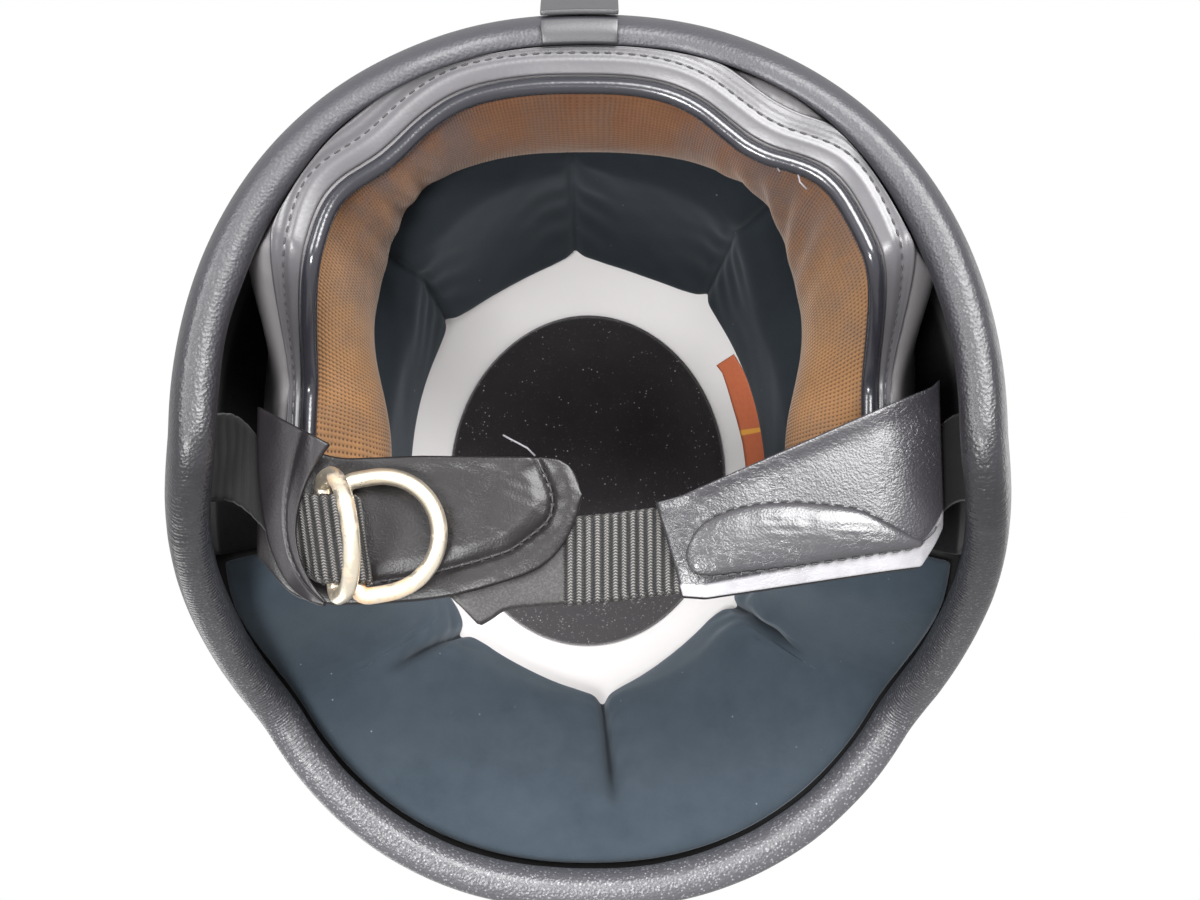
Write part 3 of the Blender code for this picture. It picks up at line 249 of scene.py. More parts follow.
def ripple(spots, size, seed):
    # a smooth uneven swell from -1 to 1, the same every run
    dice = np.random.default_rng(seed)
    total = 0
    for _ in range(7):
        direction = unit(dice.normal(size=3))
        total = total + np.sin(spots @ direction * (2 * np.pi / size * dice.uniform(0.6, 1.5)) + dice.uniform(0, 6.28))
    return total / 7


def uneven(spots, swells):
    # the sum of some swells, each of its height, size and seed
    return sum(height * ripple(spots, size, seed) for height, size, seed in swells)


def smoothTable(table, share, spread=0.05):
    shares, values = zip(*table)
    reach = spread * (1 - share)
    return np.mean([np.interp(share + reach * tap, shares, values) for tap in np.linspace(-1, 1, 9)], axis=0)


helmet = {
    "width": 0.253, "rear": 0.1405, "frontEdge": 0.1435, "height": 0.235, "wall": 0.004,
    "widest": 0.088, "planPower": 2.2, "crownPower": 2.15,
    "sideTuck": 0.10, "rearTuck": 0.20, "sideTuckPower": 3.0, "rearTuckPower": 2.2,
    "rimLift": 0.0025, "cheekRise": 0.115, "browRise": 0.0175, "rearLift": 0.0035,
    "rearLiftEnd": math.radians(32), "cheekStart": math.radians(91), "cheekEnd": math.radians(124),
    "browStart": math.radians(112), "lowestClimb": 0.6,
}
trim = {
    "outer": 0.0019, "inner": 0.0072, "pressed": 0.0016, "lip": 0.0105, "heel": 0.0046, "slotGap": 0.0006,
    "pressedHalf": math.radians(28), "pressedEase": math.radians(42), "around": 300, "girth": 0.036,
    "swells": [(0.00028, 0.034, 3), (0.00018, 0.011, 8)],
}
headSpace = {
    "width": 0.152, "rear": 0.099, "front": 0.098, "top": 0.193,
    "rearEdge": 0.052, "earEdge": 0.090, "edgeRoll": 0.020, "browRoll": 0.0085, "rimClearance": 0.0155,
    "edgeBlend": 0.006, "earRear": math.radians(62), "turnShare": 0.3, "gap": 0.0013, "touch": 0.0004,
}


def domeShare(height, top):
    rise = np.clip((height - helmet["widest"]) / (top - helmet["widest"]), 0, 1)
    return (1 - rise ** helmet["crownPower"]) ** (1 / helmet["crownPower"])


def tuckShare(angle, height):
    drop = np.clip(1 - height / helmet["widest"], 0, 1)
    rearward = np.maximum(0, np.cos(angle)) ** 1.5
    side = helmet["sideTuck"] * drop ** helmet["sideTuckPower"]
    rear = helmet["rearTuck"] * drop ** helmet["rearTuckPower"]
    return 1 - between(side, rear, rearward)


frontReach = float(
    (helmet["frontEdge"] - trim["outer"])
    / domeShare(helmet["rimLift"] + helmet["cheekRise"] + helmet["browRise"], helmet["height"])
)


def rimHeight(angle):
    turn = np.abs(angle)
    cheek = ease((turn - helmet["cheekStart"]) / (helmet["cheekEnd"] - helmet["cheekStart"]))
    brow = np.sin(np.pi / 2 * np.maximum(0, (turn - helmet["browStart"]) / (np.pi - helmet["browStart"])))
    rear = 1 - ease(turn / helmet["rearLiftEnd"] * 1.5 - 0.5)
    low = helmet["rimLift"] + helmet["rearLift"] * rear
    return low + helmet["cheekRise"] * cheek + helmet["browRise"] * brow


def shellPoint(angle, height):
    x, y = eggLine(angle, helmet["width"] / 2, helmet["rear"], frontReach, helmet["planPower"])
    share = domeShare(height, helmet["height"]) * tuckShare(angle, height)
    return spotsAt(x * share, y * share, height)


def spacePoint(angle, height):
    x, y = eggLine(angle, headSpace["width"] / 2, headSpace["rear"], headSpace["front"], helmet["planPower"])
    share = domeShare(height, headSpace["top"])
    return spotsAt(x * share, y * share, height)


def climbHeight(climb, top):
    low = helmet["widest"] * (1 + climb / helmet["lowestClimb"])
    return np.where(climb < 0, low, helmet["widest"] + (top - helmet["widest"]) * np.sin(climb))


def heightClimb(height, top):
    low = helmet["lowestClimb"] * (height / helmet["widest"] - 1)
    rise = np.clip((height - helmet["widest"]) / (top - helmet["widest"]), 0, 1)
    return np.where(height < helmet["widest"], low, np.arcsin(rise))


def surfaceAngle(spots):
    along = np.where(spots[..., 1] > 0, helmet["rear"], frontReach)
    across = (np.abs(spots[..., 0]) / (helmet["width"] / 2)) ** (helmet["planPower"] / 2)
    forward = (np.abs(spots[..., 1]) / along) ** (helmet["planPower"] / 2)
    return np.arctan2(np.copysign(across, spots[..., 0]), np.copysign(forward, spots[..., 1]))


def shellField(spots):
    # below 1 inside the shell's outer surface, 1 on it and more outside
    x, y, z = spots[..., 0], spots[..., 1], spots[..., 2]
    along = np.where(y > 0, helmet["rear"], frontReach)
    power, crown = helmet["planPower"], helmet["crownPower"]
    share = ((np.abs(x) / (helmet["width"] / 2)) ** power + (np.abs(y) / along) ** power) ** (1 / power)
    rise = np.maximum(0, (z - helmet["widest"]) / (helmet["height"] - helmet["widest"]))
    over = (share**crown + rise**crown) ** (1 / crown)
    return np.where(z < helmet["widest"], share / tuckShare(surfaceAngle(spots), z), over)


def spaceField(spots):
    x, y, z = spots[..., 0], spots[..., 1], spots[..., 2]
    along = np.where(y > 0, headSpace["rear"], headSpace["front"])
    power, crown = helmet["planPower"], helmet["crownPower"]
    across = (np.abs(x) / (headSpace["width"] / 2)) ** power + (np.abs(y) / along) ** power
    rise = np.maximum(0, (z - helmet["widest"]) / (headSpace["top"] - helmet["widest"]))
    return (across ** (crown / power) + rise**crown) ** (1 / crown)


def fieldSlope(field, spots, step=1e-4):
    slopes = []
    for i in range(3):
        shift = np.zeros(3)
        shift[i] = step
        slopes.append((field(spots + shift) - field(spots - shift)) / (2 * step))
    return np.stack(slopes, axis=-1)


def underShell(angle, height, depth):
    spots = shellPoint(angle, height)
    return spots - unit(fieldSlope(shellField, spots)) * np.asarray(depth)[..., None]


def surfaceNormal(place, first, second, step=1e-3):
    across = place(first + step, second) - place(first - step, second)
    along = place(first, second + step) - place(first, second - step)
    return unit(np.cross(across, along))


def aboveRim(angle, distance):
    reach = distance / (helmet["width"] / 2)
    shares = np.linspace(-1, 1, 13)[:, None]
    return np.max(rimHeight(angle + reach * shares) + distance * np.sqrt(1 - shares**2), axis=0)


def foamEdge(angle):
    angle = np.atleast_1d(angle)
    ear = ease((np.abs(angle) - headSpace["earRear"] / 2) / (headSpace["earRear"] / 2))
    low = between(headSpace["rearEdge"], headSpace["earEdge"], ear)
    rise = aboveRim(angle, headSpace["rimClearance"]) - low
    return low + (rise + np.sqrt(rise * rise + headSpace["edgeBlend"] ** 2)) / 2


def foamRoll(angle):
    turned = (np.abs(angle) - helmet["cheekStart"]) / (helmet["cheekEnd"] - helmet["cheekStart"])
    return between(headSpace["edgeRoll"], headSpace["browRoll"], ease(turned))


def foamFace(angle, share):
    # rolled round its lower edge for the first share, then up the head space to the crown
    angle, share = np.broadcast_arrays(np.atleast_1d(angle).astype(float), np.atleast_1d(share).astype(float))
    low = foamEdge(angle)
    high = low + foamRoll(angle)
    turnShare = headSpace["turnShare"]
    turn = np.minimum(share / turnShare, 1) * np.pi / 2
    start = heightClimb(high, headSpace["top"])
    climb = between(start, np.pi / 2, (share - turnShare) / (1 - turnShare))
    height = np.where(share < turnShare, between(low, high, 1 - np.cos(turn)), climbHeight(climb, headSpace["top"]))
    outside = underShell(angle, height, np.full_like(height, helmet["wall"] + headSpace["gap"]))
    return between(outside, spacePoint(angle, height), np.sin(turn)[:, None])


def foamShare(angle, height):
    low = foamEdge(angle)
    high = low + foamRoll(angle)
    turnShare = headSpace["turnShare"]
    rolled = np.arccos(np.clip((high - height) / (high - low), 0, 1)) / (np.pi / 2) * turnShare
    start, climb = heightClimb(high, headSpace["top"]), heightClimb(height, headSpace["top"])
    return np.where(height < high, rolled, turnShare + (1 - turnShare) * (climb - start) / (np.pi / 2 - start))


def offFoam(angle, share, distance):
    return foamFace(angle, share) + surfaceNormal(foamFace, angle, share) * np.asarray(distance)[..., None]


rimTurns = np.linspace(-np.pi, np.pi, 1441)
rimFar = walked(shellPoint(rimTurns, rimHeight(rimTurns)))
rimLength = float(rimFar[-1])


def rimAngle(turn):
    return np.interp((turn + np.pi) / (2 * np.pi), rimFar / rimLength, rimTurns)


def domeSheet(name, columns, rows, place):
    # half a sphere, its turn and its share from the rim to the crown put in place
    deselect()
    bpy.ops.mesh.primitive_uv_sphere_add(segments=columns, ring_count=2 * rows, radius=1)
    piece = started(name)
    bpy.ops.object.mode_set(mode="EDIT")
    bpy.ops.mesh.select_all(action="SELECT")
    bpy.ops.mesh.bisect(plane_co=(0, 0, 0), plane_no=(0, 0, 1), clear_inner=True)
    bpy.ops.object.mode_set(mode="OBJECT")
    flat = readSpots(piece)
    turn = np.arctan2(flat[:, 0], flat[:, 1])
    share = np.arcsin(np.clip(flat[:, 2], 0, 1)) / (np.pi / 2)
    moveSpots(piece, place(turn, share))
    mapCloth(piece, np.stack([turn / (2 * np.pi) + 0.5, share], axis=1), (1, 1))
    return piece


def joinedAtRim(name, *sheets):
    take(*sheets)
    bpy.ops.object.join()
    faceOutward(weld=0.00002)
    return started(name)


# Finishes


class Value:
    # a node's socket that takes plain arithmetic
    def __init__(self, finish, socket):
        self.finish = finish
        self.socket = socket

    def maths(self, operation, *terms, clamp=False):
        return self.finish.node("ShaderNodeMath", {"operation": operation, "use_clamp": clamp}, terms)

    def __add__(self, other):
        return self.maths("ADD", self, other)

    __radd__ = __add__

    def __sub__(self, other):
        return self.maths("SUBTRACT", self, other)

    def __rsub__(self, other):
        return self.maths("SUBTRACT", other, self)

    def __mul__(self, other):
        return self.maths("MULTIPLY", self, other)

    __rmul__ = __mul__

    def __pow__(self, other):
        return self.maths("POWER", self, other)

    def size(self):
        return self.maths("ABSOLUTE", self)

    def above(self, low, high):
        # 0 at low, 1 at high and evenly between
        return self.maths("MULTIPLY", self - low, 1 / (high - low), clamp=True)

    def wave(self, pitch, start=0.0):
        # 0 to 1 and back over each pitch, begun a share of the pitch earlier
        return self.maths("SINE", self * (2 * math.pi / pitch) - start * 2 * math.pi) * 0.5 + 0.5


socketNames = {
    "color": "Base Color", "specular": "Specular IOR Level", "coat": "Coat Weight", "coatRoughness": "Coat Roughness",
    "sheen": "Sheen Weight", "sheenRoughness": "Sheen Roughness", "sheenTint": "Sheen Tint",
}


class Finish:
    def __init__(self, name, **fixed):
        self.material = bpy.data.materials.new(name)
        self.material.use_nodes = True
        self.tree = self.material.node_tree
        self.shader = self.tree.nodes["Principled BSDF"]
        for key, value in fixed.items():
            self.set(key, value)

    def set(self, key, value):
        socket = self.shader.inputs[socketNames.get(key, key.capitalize())]
        if isinstance(value, Value):
            self.tree.links.new(value.socket, socket)
        else:
            socket.default_value = (*value, 1) if isinstance(value, tuple) else value

    def node(self, kind, settings=None, inputs=(), output=0):
        made = self.tree.nodes.new(kind)
        for key, value in (settings or {}).items():
            setattr(made, key, value)
        for key, value in inputs.items() if isinstance(inputs, dict) else enumerate(inputs):
            if isinstance(value, Value):
                self.tree.links.new(value.socket, made.inputs[key])
            else:
                made.inputs[key].default_value = value
        return Value(self, made.outputs[output])

    def places(self):
        return self.node("ShaderNodeTexCoord", output="Object")

    def cloth(self):
        return self.node("ShaderNodeUVMap", {"uv_map": "cloth"})

    def split(self, vector, axis):
        return self.node("ShaderNodeSeparateXYZ", None, [vector], axis)

    def stretched(self, vector, scale, turn=(0, 0, 0)):
        return self.node("ShaderNodeMapping", None, {"Vector": vector, "Scale": scale, "Rotation": turn})

    def noise(self, where, scale, detail=2.0, rough=0.5, distort=0.0):
        sockets = {"Vector": where, "Scale": scale, "Detail": detail, "Roughness": rough, "Distortion": distort}
        return self.node("ShaderNodeTexNoise", None, sockets, "Fac")

    def cells(self, where, scale, feature="F1", smooth=1.0):
        sockets = {"Vector": where, "Scale": scale}
        if feature == "SMOOTH_F1":
            sockets["Smoothness"] = smooth
        return self.node("ShaderNodeTexVoronoi", {"feature": feature}, sockets, "Distance")

    def mixed(self, share, first, second):
        made = self.tree.nodes.new("ShaderNodeMix")
        made.data_type = "RGBA"
        for key, value in ((0, share), (6, first), (7, second)):
            if isinstance(value, Value):
                self.tree.links.new(value.socket, made.inputs[key])
            else:
                made.inputs[key].default_value = (*value, 1) if isinstance(value, tuple) else value
        return Value(self, made.outputs[2])

    def bump(self, height, distance, strength=1.0):
        sockets = {"Height": height, "Distance": distance, "Strength": strength}
        self.set("normal", self.node("ShaderNodeBump", None, sockets))
        return self.material


def paintFinish():
    paint = Finish("ivoryPaint", coat=0.7, coatRoughness=0.06, specular=0.5)
    where = paint.places()
    tone = paint.noise(where, 9, 4, 0.6)
    specks = paint.cells(where, 260).above(0.13, 0.06) * paint.noise(where, 40, 2).above(0.55, 0.7)
    rubbed = paint.noise(where, 22, 5, 0.65).above(0.62, 0.8)
    base = paint.mixed(tone, (0.60, 0.545, 0.50), (0.68, 0.63, 0.59))
    paint.set("color", paint.mixed(specks * 0.7, base, (0.30, 0.24, 0.19)))
    paint.set("roughness", 0.17 + rubbed * 0.16)
    return paint.bump(paint.noise(where, 160, 2, 0.4), 0.00006, 0.35)


def foamFinish():
    foam = Finish("mouldedBeadFoam", specular=0.35)
    where = foam.places()
    beads = foam.cells(where, 300, "SMOOTH_F1", 0.35)
    tone = foam.noise(where, 14, 3, 0.6)
    # painted shade: the foam's rolled edge is painted near black, so that it reads dark where it shows beside the
    # linings and the roll
    unshadedFoam = foam.split(foam.cloth(), 1).above(0.255, 0.275)
    white = foam.mixed(tone, (0.61, 0.59, 0.59), (0.71, 0.695, 0.69))
    foam.set("color", foam.mixed(unshadedFoam, (0.012, 0.012, 0.013), white))
    foam.set("roughness", 0.50 + tone * 0.2)
    return foam.bump(beads * 0.8 + foam.noise(where, 900, 2) * 0.2, 0.0003, 0.22)


def trimFinish():
    # embossed vinyl: fine pebbles, with cross wrinkles at the cheeks, where the channel is bent tightest
    vinyl = Finish("embossedVinyl", specular=0.7, coat=0.10, coatRoughness=0.2)
    where = vinyl.places()
    along = vinyl.split(vinyl.cloth(), 0)
    depth = vinyl.split(where, 1)
    rear = depth.above(-0.015, 0.080)
    front = depth.above(-0.030, -0.095)
    pebble = vinyl.cells(where, 1050, "SMOOTH_F1", 0.45)
    grain = vinyl.noise(where, 1900, 3, 0.6)
    swell = vinyl.noise(where, 120, 3, 0.55)
    cheek = depth.above(-0.010, -0.034) * depth.above(-0.112, -0.085)
    fine = (along + vinyl.noise(where, 220, 2) * 0.0016).wave(0.0014) * cheek
    wide = (along + vinyl.noise(where, 130, 2) * 0.0042).wave(0.0033) * vinyl.noise(where, 20, 2).above(0.46, 0.66)
    height = pebble * 0.5 + grain * 0.2 + swell * 0.25 + fine * 0.4 + wide * cheek * 0.7
    wornAndLit = vinyl.noise(where, 60, 4, 0.6).above(0.5, 0.75)
    dark = vinyl.mixed(wornAndLit, (0.007, 0.0065, 0.009), (0.018, 0.017, 0.021))
    # painted highlight: pale glints painted on the front
    paintedGlints = vinyl.cells(where, 820).above(0.34, 0.14) * front
    # painted light: the rear and the front are painted paler than the sides
    base = vinyl.mixed(front * 0.75, vinyl.mixed(rear * 0.8, dark, (0.031, 0.030, 0.037)), (0.085, 0.083, 0.092))
    vinyl.set("color", vinyl.mixed(paintedGlints * 0.55, base, (0.34, 0.34, 0.37)))
    vinyl.set("roughness", 0.27 + vinyl.noise(where, 500, 2) * 0.22 + rear * 0.14)
    return vinyl.bump(height * (1 - rear * 0.3), 0.0005, 0.75)


def suedeFinish(name, dark, light, brushedTone, sheen, creases=()):
    # each crease: its place along the cloth at the inner edge, how far that shifts by its other end, and its length
    suede = Finish(name, sheen=sheen, sheenRoughness=0.5, sheenTint=(0.75, 0.83, 0.92), specular=0.15)
    where = suede.places()
    nap = suede.noise(where, 1300, 3, 0.7)
    cloud = suede.noise(where, 34, 5, 0.7)
    brushed = suede.noise(suede.stretched(where, (1, 1, 0.4)), 120, 3, 0.6)
    lint = suede.cells(where, 150).above(0.055, 0.03) * suede.noise(where, 60, 2).above(0.5, 0.62)
    base = suede.mixed(brushed * 0.45, suede.mixed(cloud, dark, light), brushedTone)
    along, across = suede.split(suede.cloth(), 0), suede.split(suede.cloth(), 1)
    # painted shade: each crease gets a dark line painted along it, down from the inner edge
    for start, further, run in creases:
        down = (1 - across * (1 / lining["height"])) * (1 / run)
        away = (along - start - down * further).size()
        shade = away.above(0.0022, 0.0002) * down.above(1.0, 0.75)
        base = suede.mixed(shade * 0.85, base, (0.004, 0.006, 0.008))
    suede.set("color", suede.mixed(lint * 0.5, base, (0.30, 0.33, 0.36)))
    suede.set("roughness", 0.82 + nap * 0.15)
    return suede.bump(nap * 0.5 + brushed * 0.5, 0.0004, 0.4)


def velvetFinish():
    velvet = Finish("blackPadVelvet", sheen=0.35, sheenRoughness=0.45, sheenTint=(0.8, 0.78, 0.8), specular=0.12)
    where = velvet.places()
    nap = velvet.noise(where, 1600, 3, 0.7)
    front = velvet.split(where, 1).above(0.004, -0.036)
    specks = velvet.cells(where, 620).above(0.20, 0.08) * velvet.noise(where, 140, 3, 0.7).above(0.50, 0.62)
    dust = velvet.noise(where, 900, 3, 0.75).above(0.60, 0.72) * (front * 0.75 + 0.1)
    fluff = velvet.noise(where, 34, 4, 0.7)
    base = velvet.mixed(fluff, (0.008, 0.007, 0.008), (0.022, 0.020, 0.021))
    # painted light: the front of the pad is painted paler, where it turns to the light
    base = velvet.mixed(front * 0.5, base, (0.070, 0.068, 0.070))
    base = velvet.mixed(dust, base, (0.24, 0.235, 0.24))
    velvet.set("color", velvet.mixed(specks * 0.7, base, (0.42, 0.41, 0.42)))
    velvet.set("roughness", 0.9)
    return velvet.bump(nap + fluff * 0.5, 0.0005, 0.5)


def vinylFinish(name, dark, light, rough, grainSize, depth, creases=0.0, strip=None, corners=0.0, shine=0.6):
    # soft upholstery vinyl with a light grain and, where it is handled, fine drawn-out creases
    vinyl = Finish(name, specular=shine, coat=shine / 6, coatRoughness=0.3)
    where = vinyl.places()
    grain = vinyl.cells(where, grainSize, "SMOOTH_F1", 0.6)
    soft = vinyl.noise(where, 70, 3, 0.6)
    tone = vinyl.noise(where, 30, 4, 0.6)
    color = vinyl.mixed(tone, dark, light)
    if corners:
        # painted light: paler towards both sides, where the roll turns to the light
        paintedSideLight = tuple(part * 1.9 for part in light)
        color = vinyl.mixed(vinyl.split(where, 0).size().above(0.020, 0.070) * corners, color, paintedSideLight)
    if strip:
        # painted highlight: silvery in front of the pad's seam, where the strip faces the light
        wornAndLit = vinyl.split(vinyl.cloth(), 1).above(strip * 1.12, strip * 0.9)
        color = vinyl.mixed(wornAndLit * (0.30 + soft * 0.5), color, (0.52, 0.51, 0.53))
    vinyl.set("color", color)
    vinyl.set("roughness", rough - 0.06 + soft * 0.14)
    height = grain * 0.3 + soft * 0.3
    if creases:
        patch = vinyl.noise(where, 55, 2).above(0.38, 0.62)
        for size, share in ((260, 0.9), (520, 0.6)):
            drawn = vinyl.noise(vinyl.stretched(where, (0.7, 1.2, 1), (0, 0, 0.25)), size, 3, 0.55, 0.6)
            line = 1 - (drawn * 2 - 1).size()
            height = height - (line ** 9) * patch * (creases * share)
        fine = vinyl.noise(vinyl.stretched(where, (0.6, 1.3, 1)), 620, 3, 0.65, 0.5)
        height = height + fine * creases * 0.6
    return vinyl.bump(height, depth, 0.8)


def meshFinish():
    # a ribbed knit: rows across the facing and small holes along each row, golden beside the ears, darker elsewhere
    knit = Finish("brownRibMesh", sheen=0.25, sheenRoughness=0.4, sheenTint=(0.9, 0.75, 0.65), specular=0.25)
    cloth = knit.cloth()
    where = knit.places()
    along, across = knit.split(cloth, 0), knit.split(cloth, 1)
    warp = knit.noise(where, 60, 2) * 0.0012
    ribs = (along + warp).wave(0.00115)
    rows = (across + warp).wave(0.0017)
    hole = (1 - ribs).above(0.45, 0.95) * rows.above(0.25, 0.8)
    tone = knit.noise(where, 42, 4, 0.65)
    rear = knit.split(where, 1).above(0.040, 0.085)
    corner = rear * (1 - knit.split(where, 0).size().above(0.050, 0.020))
    soiled = knit.noise(knit.stretched(where, (1, 1, 0.35)), 55, 4, 0.7)
    golden = knit.mixed(tone, (0.175, 0.085, 0.034), (0.330, 0.175, 0.078))
    deep = knit.mixed(tone, (0.105, 0.043, 0.021), (0.215, 0.098, 0.046))
    base = knit.mixed(soiled.above(0.46, 0.70) * 0.45, knit.mixed(rear, golden, deep), (0.105, 0.080, 0.070))
    base = knit.mixed(soiled.above(0.36, 0.60) * corner * 0.7, base, (0.085, 0.070, 0.078))
    # painted shade: darker towards the facing's deep edge, where it rolls away
    base = knit.mixed(across.above(0.034, 0.050) * 0.65, base, (0.050, 0.038, 0.033))
    knit.set("color", knit.mixed(hole * (0.75 - rear * 0.4), base, (0.020, 0.010, 0.007)))
    knit.set("roughness", 0.62 + tone * 0.2)
    return knit.bump(ribs * 0.7 + rows * 0.3, 0.0004, 0.7)


def clothFinish():
    cloth = Finish("blackSideCloth", sheen=0.1, specular=0.1)
    where = cloth.places()
    nap = cloth.noise(where, 900, 3, 0.7)
    cloth.set("color", cloth.mixed(nap, (0.005, 0.005, 0.006), (0.014, 0.013, 0.014)))
    cloth.set("roughness", 0.95)
    return cloth.bump(nap, 0.0003, 0.4)


def webbingFinish():
    # each rib is a row of twisted yarns, with painted highlight lighter on their crests and painted shade black between
    # the ribs
    weave = Finish("ribbedWebbing", specular=0.5, sheen=0.1, sheenTint=(0.8, 0.8, 0.8))
    cloth = weave.cloth()
    where = weave.places()
    along, across = weave.split(cloth, 0), weave.split(cloth, 1)
    rib = along.wave(webbing["ribPitch"], 0.25)
    half = along.wave(webbing["ribPitch"]).above(0.45, 0.55)
    twist = (across + along * 0.55).wave(0.00086)
    counter = (across - along * 0.55).wave(0.00086)
    yarn = weave.mixed(half, twist, counter)
    tone = weave.noise(where, 120, 3, 0.6)
    # painted shade: the ends by the hangers, in the trim's shade, are painted black
    reach = weave.split(where, 0).size()
    wornAndLit = reach.above(0.094, 0.086)
    crestHighlight = yarn * rib.above(0.30, 0.9) * wornAndLit
    base = weave.mixed(crestHighlight, (0.012, 0.011, 0.011), (0.26, 0.25, 0.24))
    base = weave.mixed(tone * 0.4, base, (0.022, 0.020, 0.019))
    base = weave.mixed(rib.above(0.50, 0.05) * 0.95, base, (0.002, 0.002, 0.002))
    # the doubled tail is bound smooth
    side = weave.split(where, 0)
    bound = side.above(0.0066, 0.0074) * side.above(0.052, 0.046)
    fuzz = weave.noise(where, 1500, 3, 0.7).above(0.45, 0.75)
    base = weave.mixed(bound, base, weave.mixed(fuzz, (0.010, 0.009, 0.009), (0.050, 0.044, 0.043)))
    woven = wornAndLit * (1 - bound)
    weave.set("color", weave.mixed(1 - wornAndLit, base, (0.0015, 0.0015, 0.0015)))
    weave.set("roughness", 0.44 + tone * 0.15 + (1 - wornAndLit) * 0.4)
    return weave.bump(yarn * 0.6 * woven + tone * 0.15, 0.0006, 0.9)


def threadFinish(name, color):
    thread = Finish(name, specular=0.5, sheen=0.2)
    where = thread.places()
    fibre = thread.noise(where, 1800, 2)
    dim = tuple(part * 0.55 for part in color)
    thread.set("color", thread.mixed(fibre, dim, color))
    thread.set("roughness", 0.55)
    return thread.bump(fibre, 0.0001, 0.6)


def rawEdgeFinish():
    raw = Finish("rawTanEdge", specular=0.2)
    where = raw.places()
    fibre = raw.noise(where, 1500, 3, 0.7)
    raw.set("color", raw.mixed(fibre, (0.10, 0.06, 0.035), (0.36, 0.26, 0.17)))
    raw.set("roughness", 0.85)
    return raw.bump(fibre, 0.0004, 0.8)


def nickelFinish():
    # yellowed nickel with tan rust that starts in the crooks and underneath
    nickel = Finish("wornNickel", specular=0.5)
    where = nickel.places()
    tarnish = nickel.noise(where, 120, 4, 0.6)
    low = nickel.split(where, 1).above(-0.030, -0.050) * 0.07
    rust = (nickel.noise(where, 95, 5, 0.7) + low).above(0.53, 0.72)
    pits = nickel.cells(where, 900).above(0.28, 0.12) * nickel.noise(where, 150, 3, 0.6).above(0.5, 0.66)
    base = nickel.mixed(tarnish, (0.94, 0.88, 0.76), (0.80, 0.68, 0.50))
    base = nickel.mixed(rust * 0.85, base, (0.50, 0.25, 0.08))
    nickel.set("color", nickel.mixed(pits * 0.6, base, (0.14, 0.07, 0.03)))
    nickel.set("metallic", 0.92 - rust * 0.7)
    nickel.set("roughness", 0.26 + rust * 0.4 + tarnish * 0.18)
    return nickel.bump(tarnish * 0.4 - pits * 0.6, 0.00015, 0.5)


def steelFinish():
    steel = Finish("platedSteel", specular=0.5)
    where = steel.places()
    brushed = steel.noise(steel.stretched(where, (1, 1, 6)), 160, 4, 0.6)
    spots = steel.noise(where, 260, 4, 0.7).above(0.62, 0.78)
    steel.set("color", steel.mixed(spots * 0.6, (0.66, 0.65, 0.63), (0.20, 0.15, 0.11)))
    steel.set("metallic", 1.0 - spots * 0.5)
    steel.set("roughness", 0.22 + brushed * 0.2)
    return steel.bump(brushed, 0.00008, 0.4)


def patchFinish():
    # a plain orange tag with one yellow stripe
    patch = Finish("orangeTag", specular=0.3)
    where = patch.places()
    fibre = patch.noise(where, 600, 3, 0.7)
    along = patch.split(patch.cloth(), 0)
    stripe = along.above(0.0292, 0.0296) * along.above(0.0312, 0.0308)
    base = patch.mixed(fibre, (0.36, 0.090, 0.040), (0.50, 0.140, 0.062))
    patch.set("color", patch.mixed(stripe, base, (0.62, 0.30, 0.05)))
    patch.set("roughness", 0.7)
    return patch.bump(fibre, 0.0001, 0.4)


lining = {
    "thickness": 0.0032, "puff": 0.0040, "join": math.radians(101), "joinGap": math.radians(0.15), "gap": 0.0015,
    "height": 0.07, "clothPerRadian": 0.15,
    "top": 0.143, "rearStart": 0.17, "frontStart": 0.012,
    "notch": 0.0085, "sideDrop": 0.0040, "side": math.radians(84), "sideSpread": math.radians(34),
    "browLift": 0.0185, "browLiftStart": math.radians(85), "browLiftEnd": math.radians(128),
    "cusp": math.radians(9), "creaseDepth": 0.0050, "creaseAngle": math.radians(1.3), "pullAngle": math.radians(10),
    "swells": [(0.00045, 0.045, 11), (0.00022, 0.016, 12)], "gathers": 0.0005,
    "frontColumns": 230, "frontRows": 34, "rearColumns": 260, "rearRows": 30,
}
# each dart: its angle, how far down the panel it runs from the inner edge, and how far it leans
darts = [(3, 1.0, 0.0), (48, 1.0, 2.0), (-38, 1.0, -3.0), (130, 0.72, -5.0), (-119, 0.72, 0.0), (-176, 0.78, 0.6)]
frontHalf = math.pi - lining["join"] - lining["joinGap"]
rearHalf = lining["join"] - lining["joinGap"]


def frontCreases():
    # where the front half's darts cross its cloth, for the painted shade inside them
    found = []
    for degrees, run, lean in darts:
        if abs(degrees) > 90:
            turn = math.radians(degrees % 360) - math.pi + frontHalf
            found.append((turn / 2 * lining["clothPerRadian"], math.radians(lean) / 2 * lining["clothPerRadian"], run))
    return found


webbing = {
    "width": 0.0262, "thickness": 0.0015, "ribPitch": 0.00270, "ribHeight": 0.00055, "seamGap": 0.0002,
    "perRib": 8, "sides": 44, "leftColumns": 60, "rightColumns": 110,
}

paint = paintFinish()
foamWhite = foamFinish()
trimVinyl = trimFinish()
suede = suedeFinish(
    "blueGreySuede", dark=(0.013, 0.022, 0.031), light=(0.048, 0.062, 0.077), brushedTone=(0.058, 0.075, 0.094),
    sheen=0.26, creases=frontCreases(),
)
# painted shade: a darker copy of the suede for the rear lining, which sits in shade
shadedRearSuede = suedeFinish(
    "shadedRearLiningSuede", dark=(0.005, 0.007, 0.009), light=(0.012, 0.016, 0.020), brushedTone=(0.017, 0.022, 0.027),
    sheen=0.10,
)
velvet = velvetFinish()
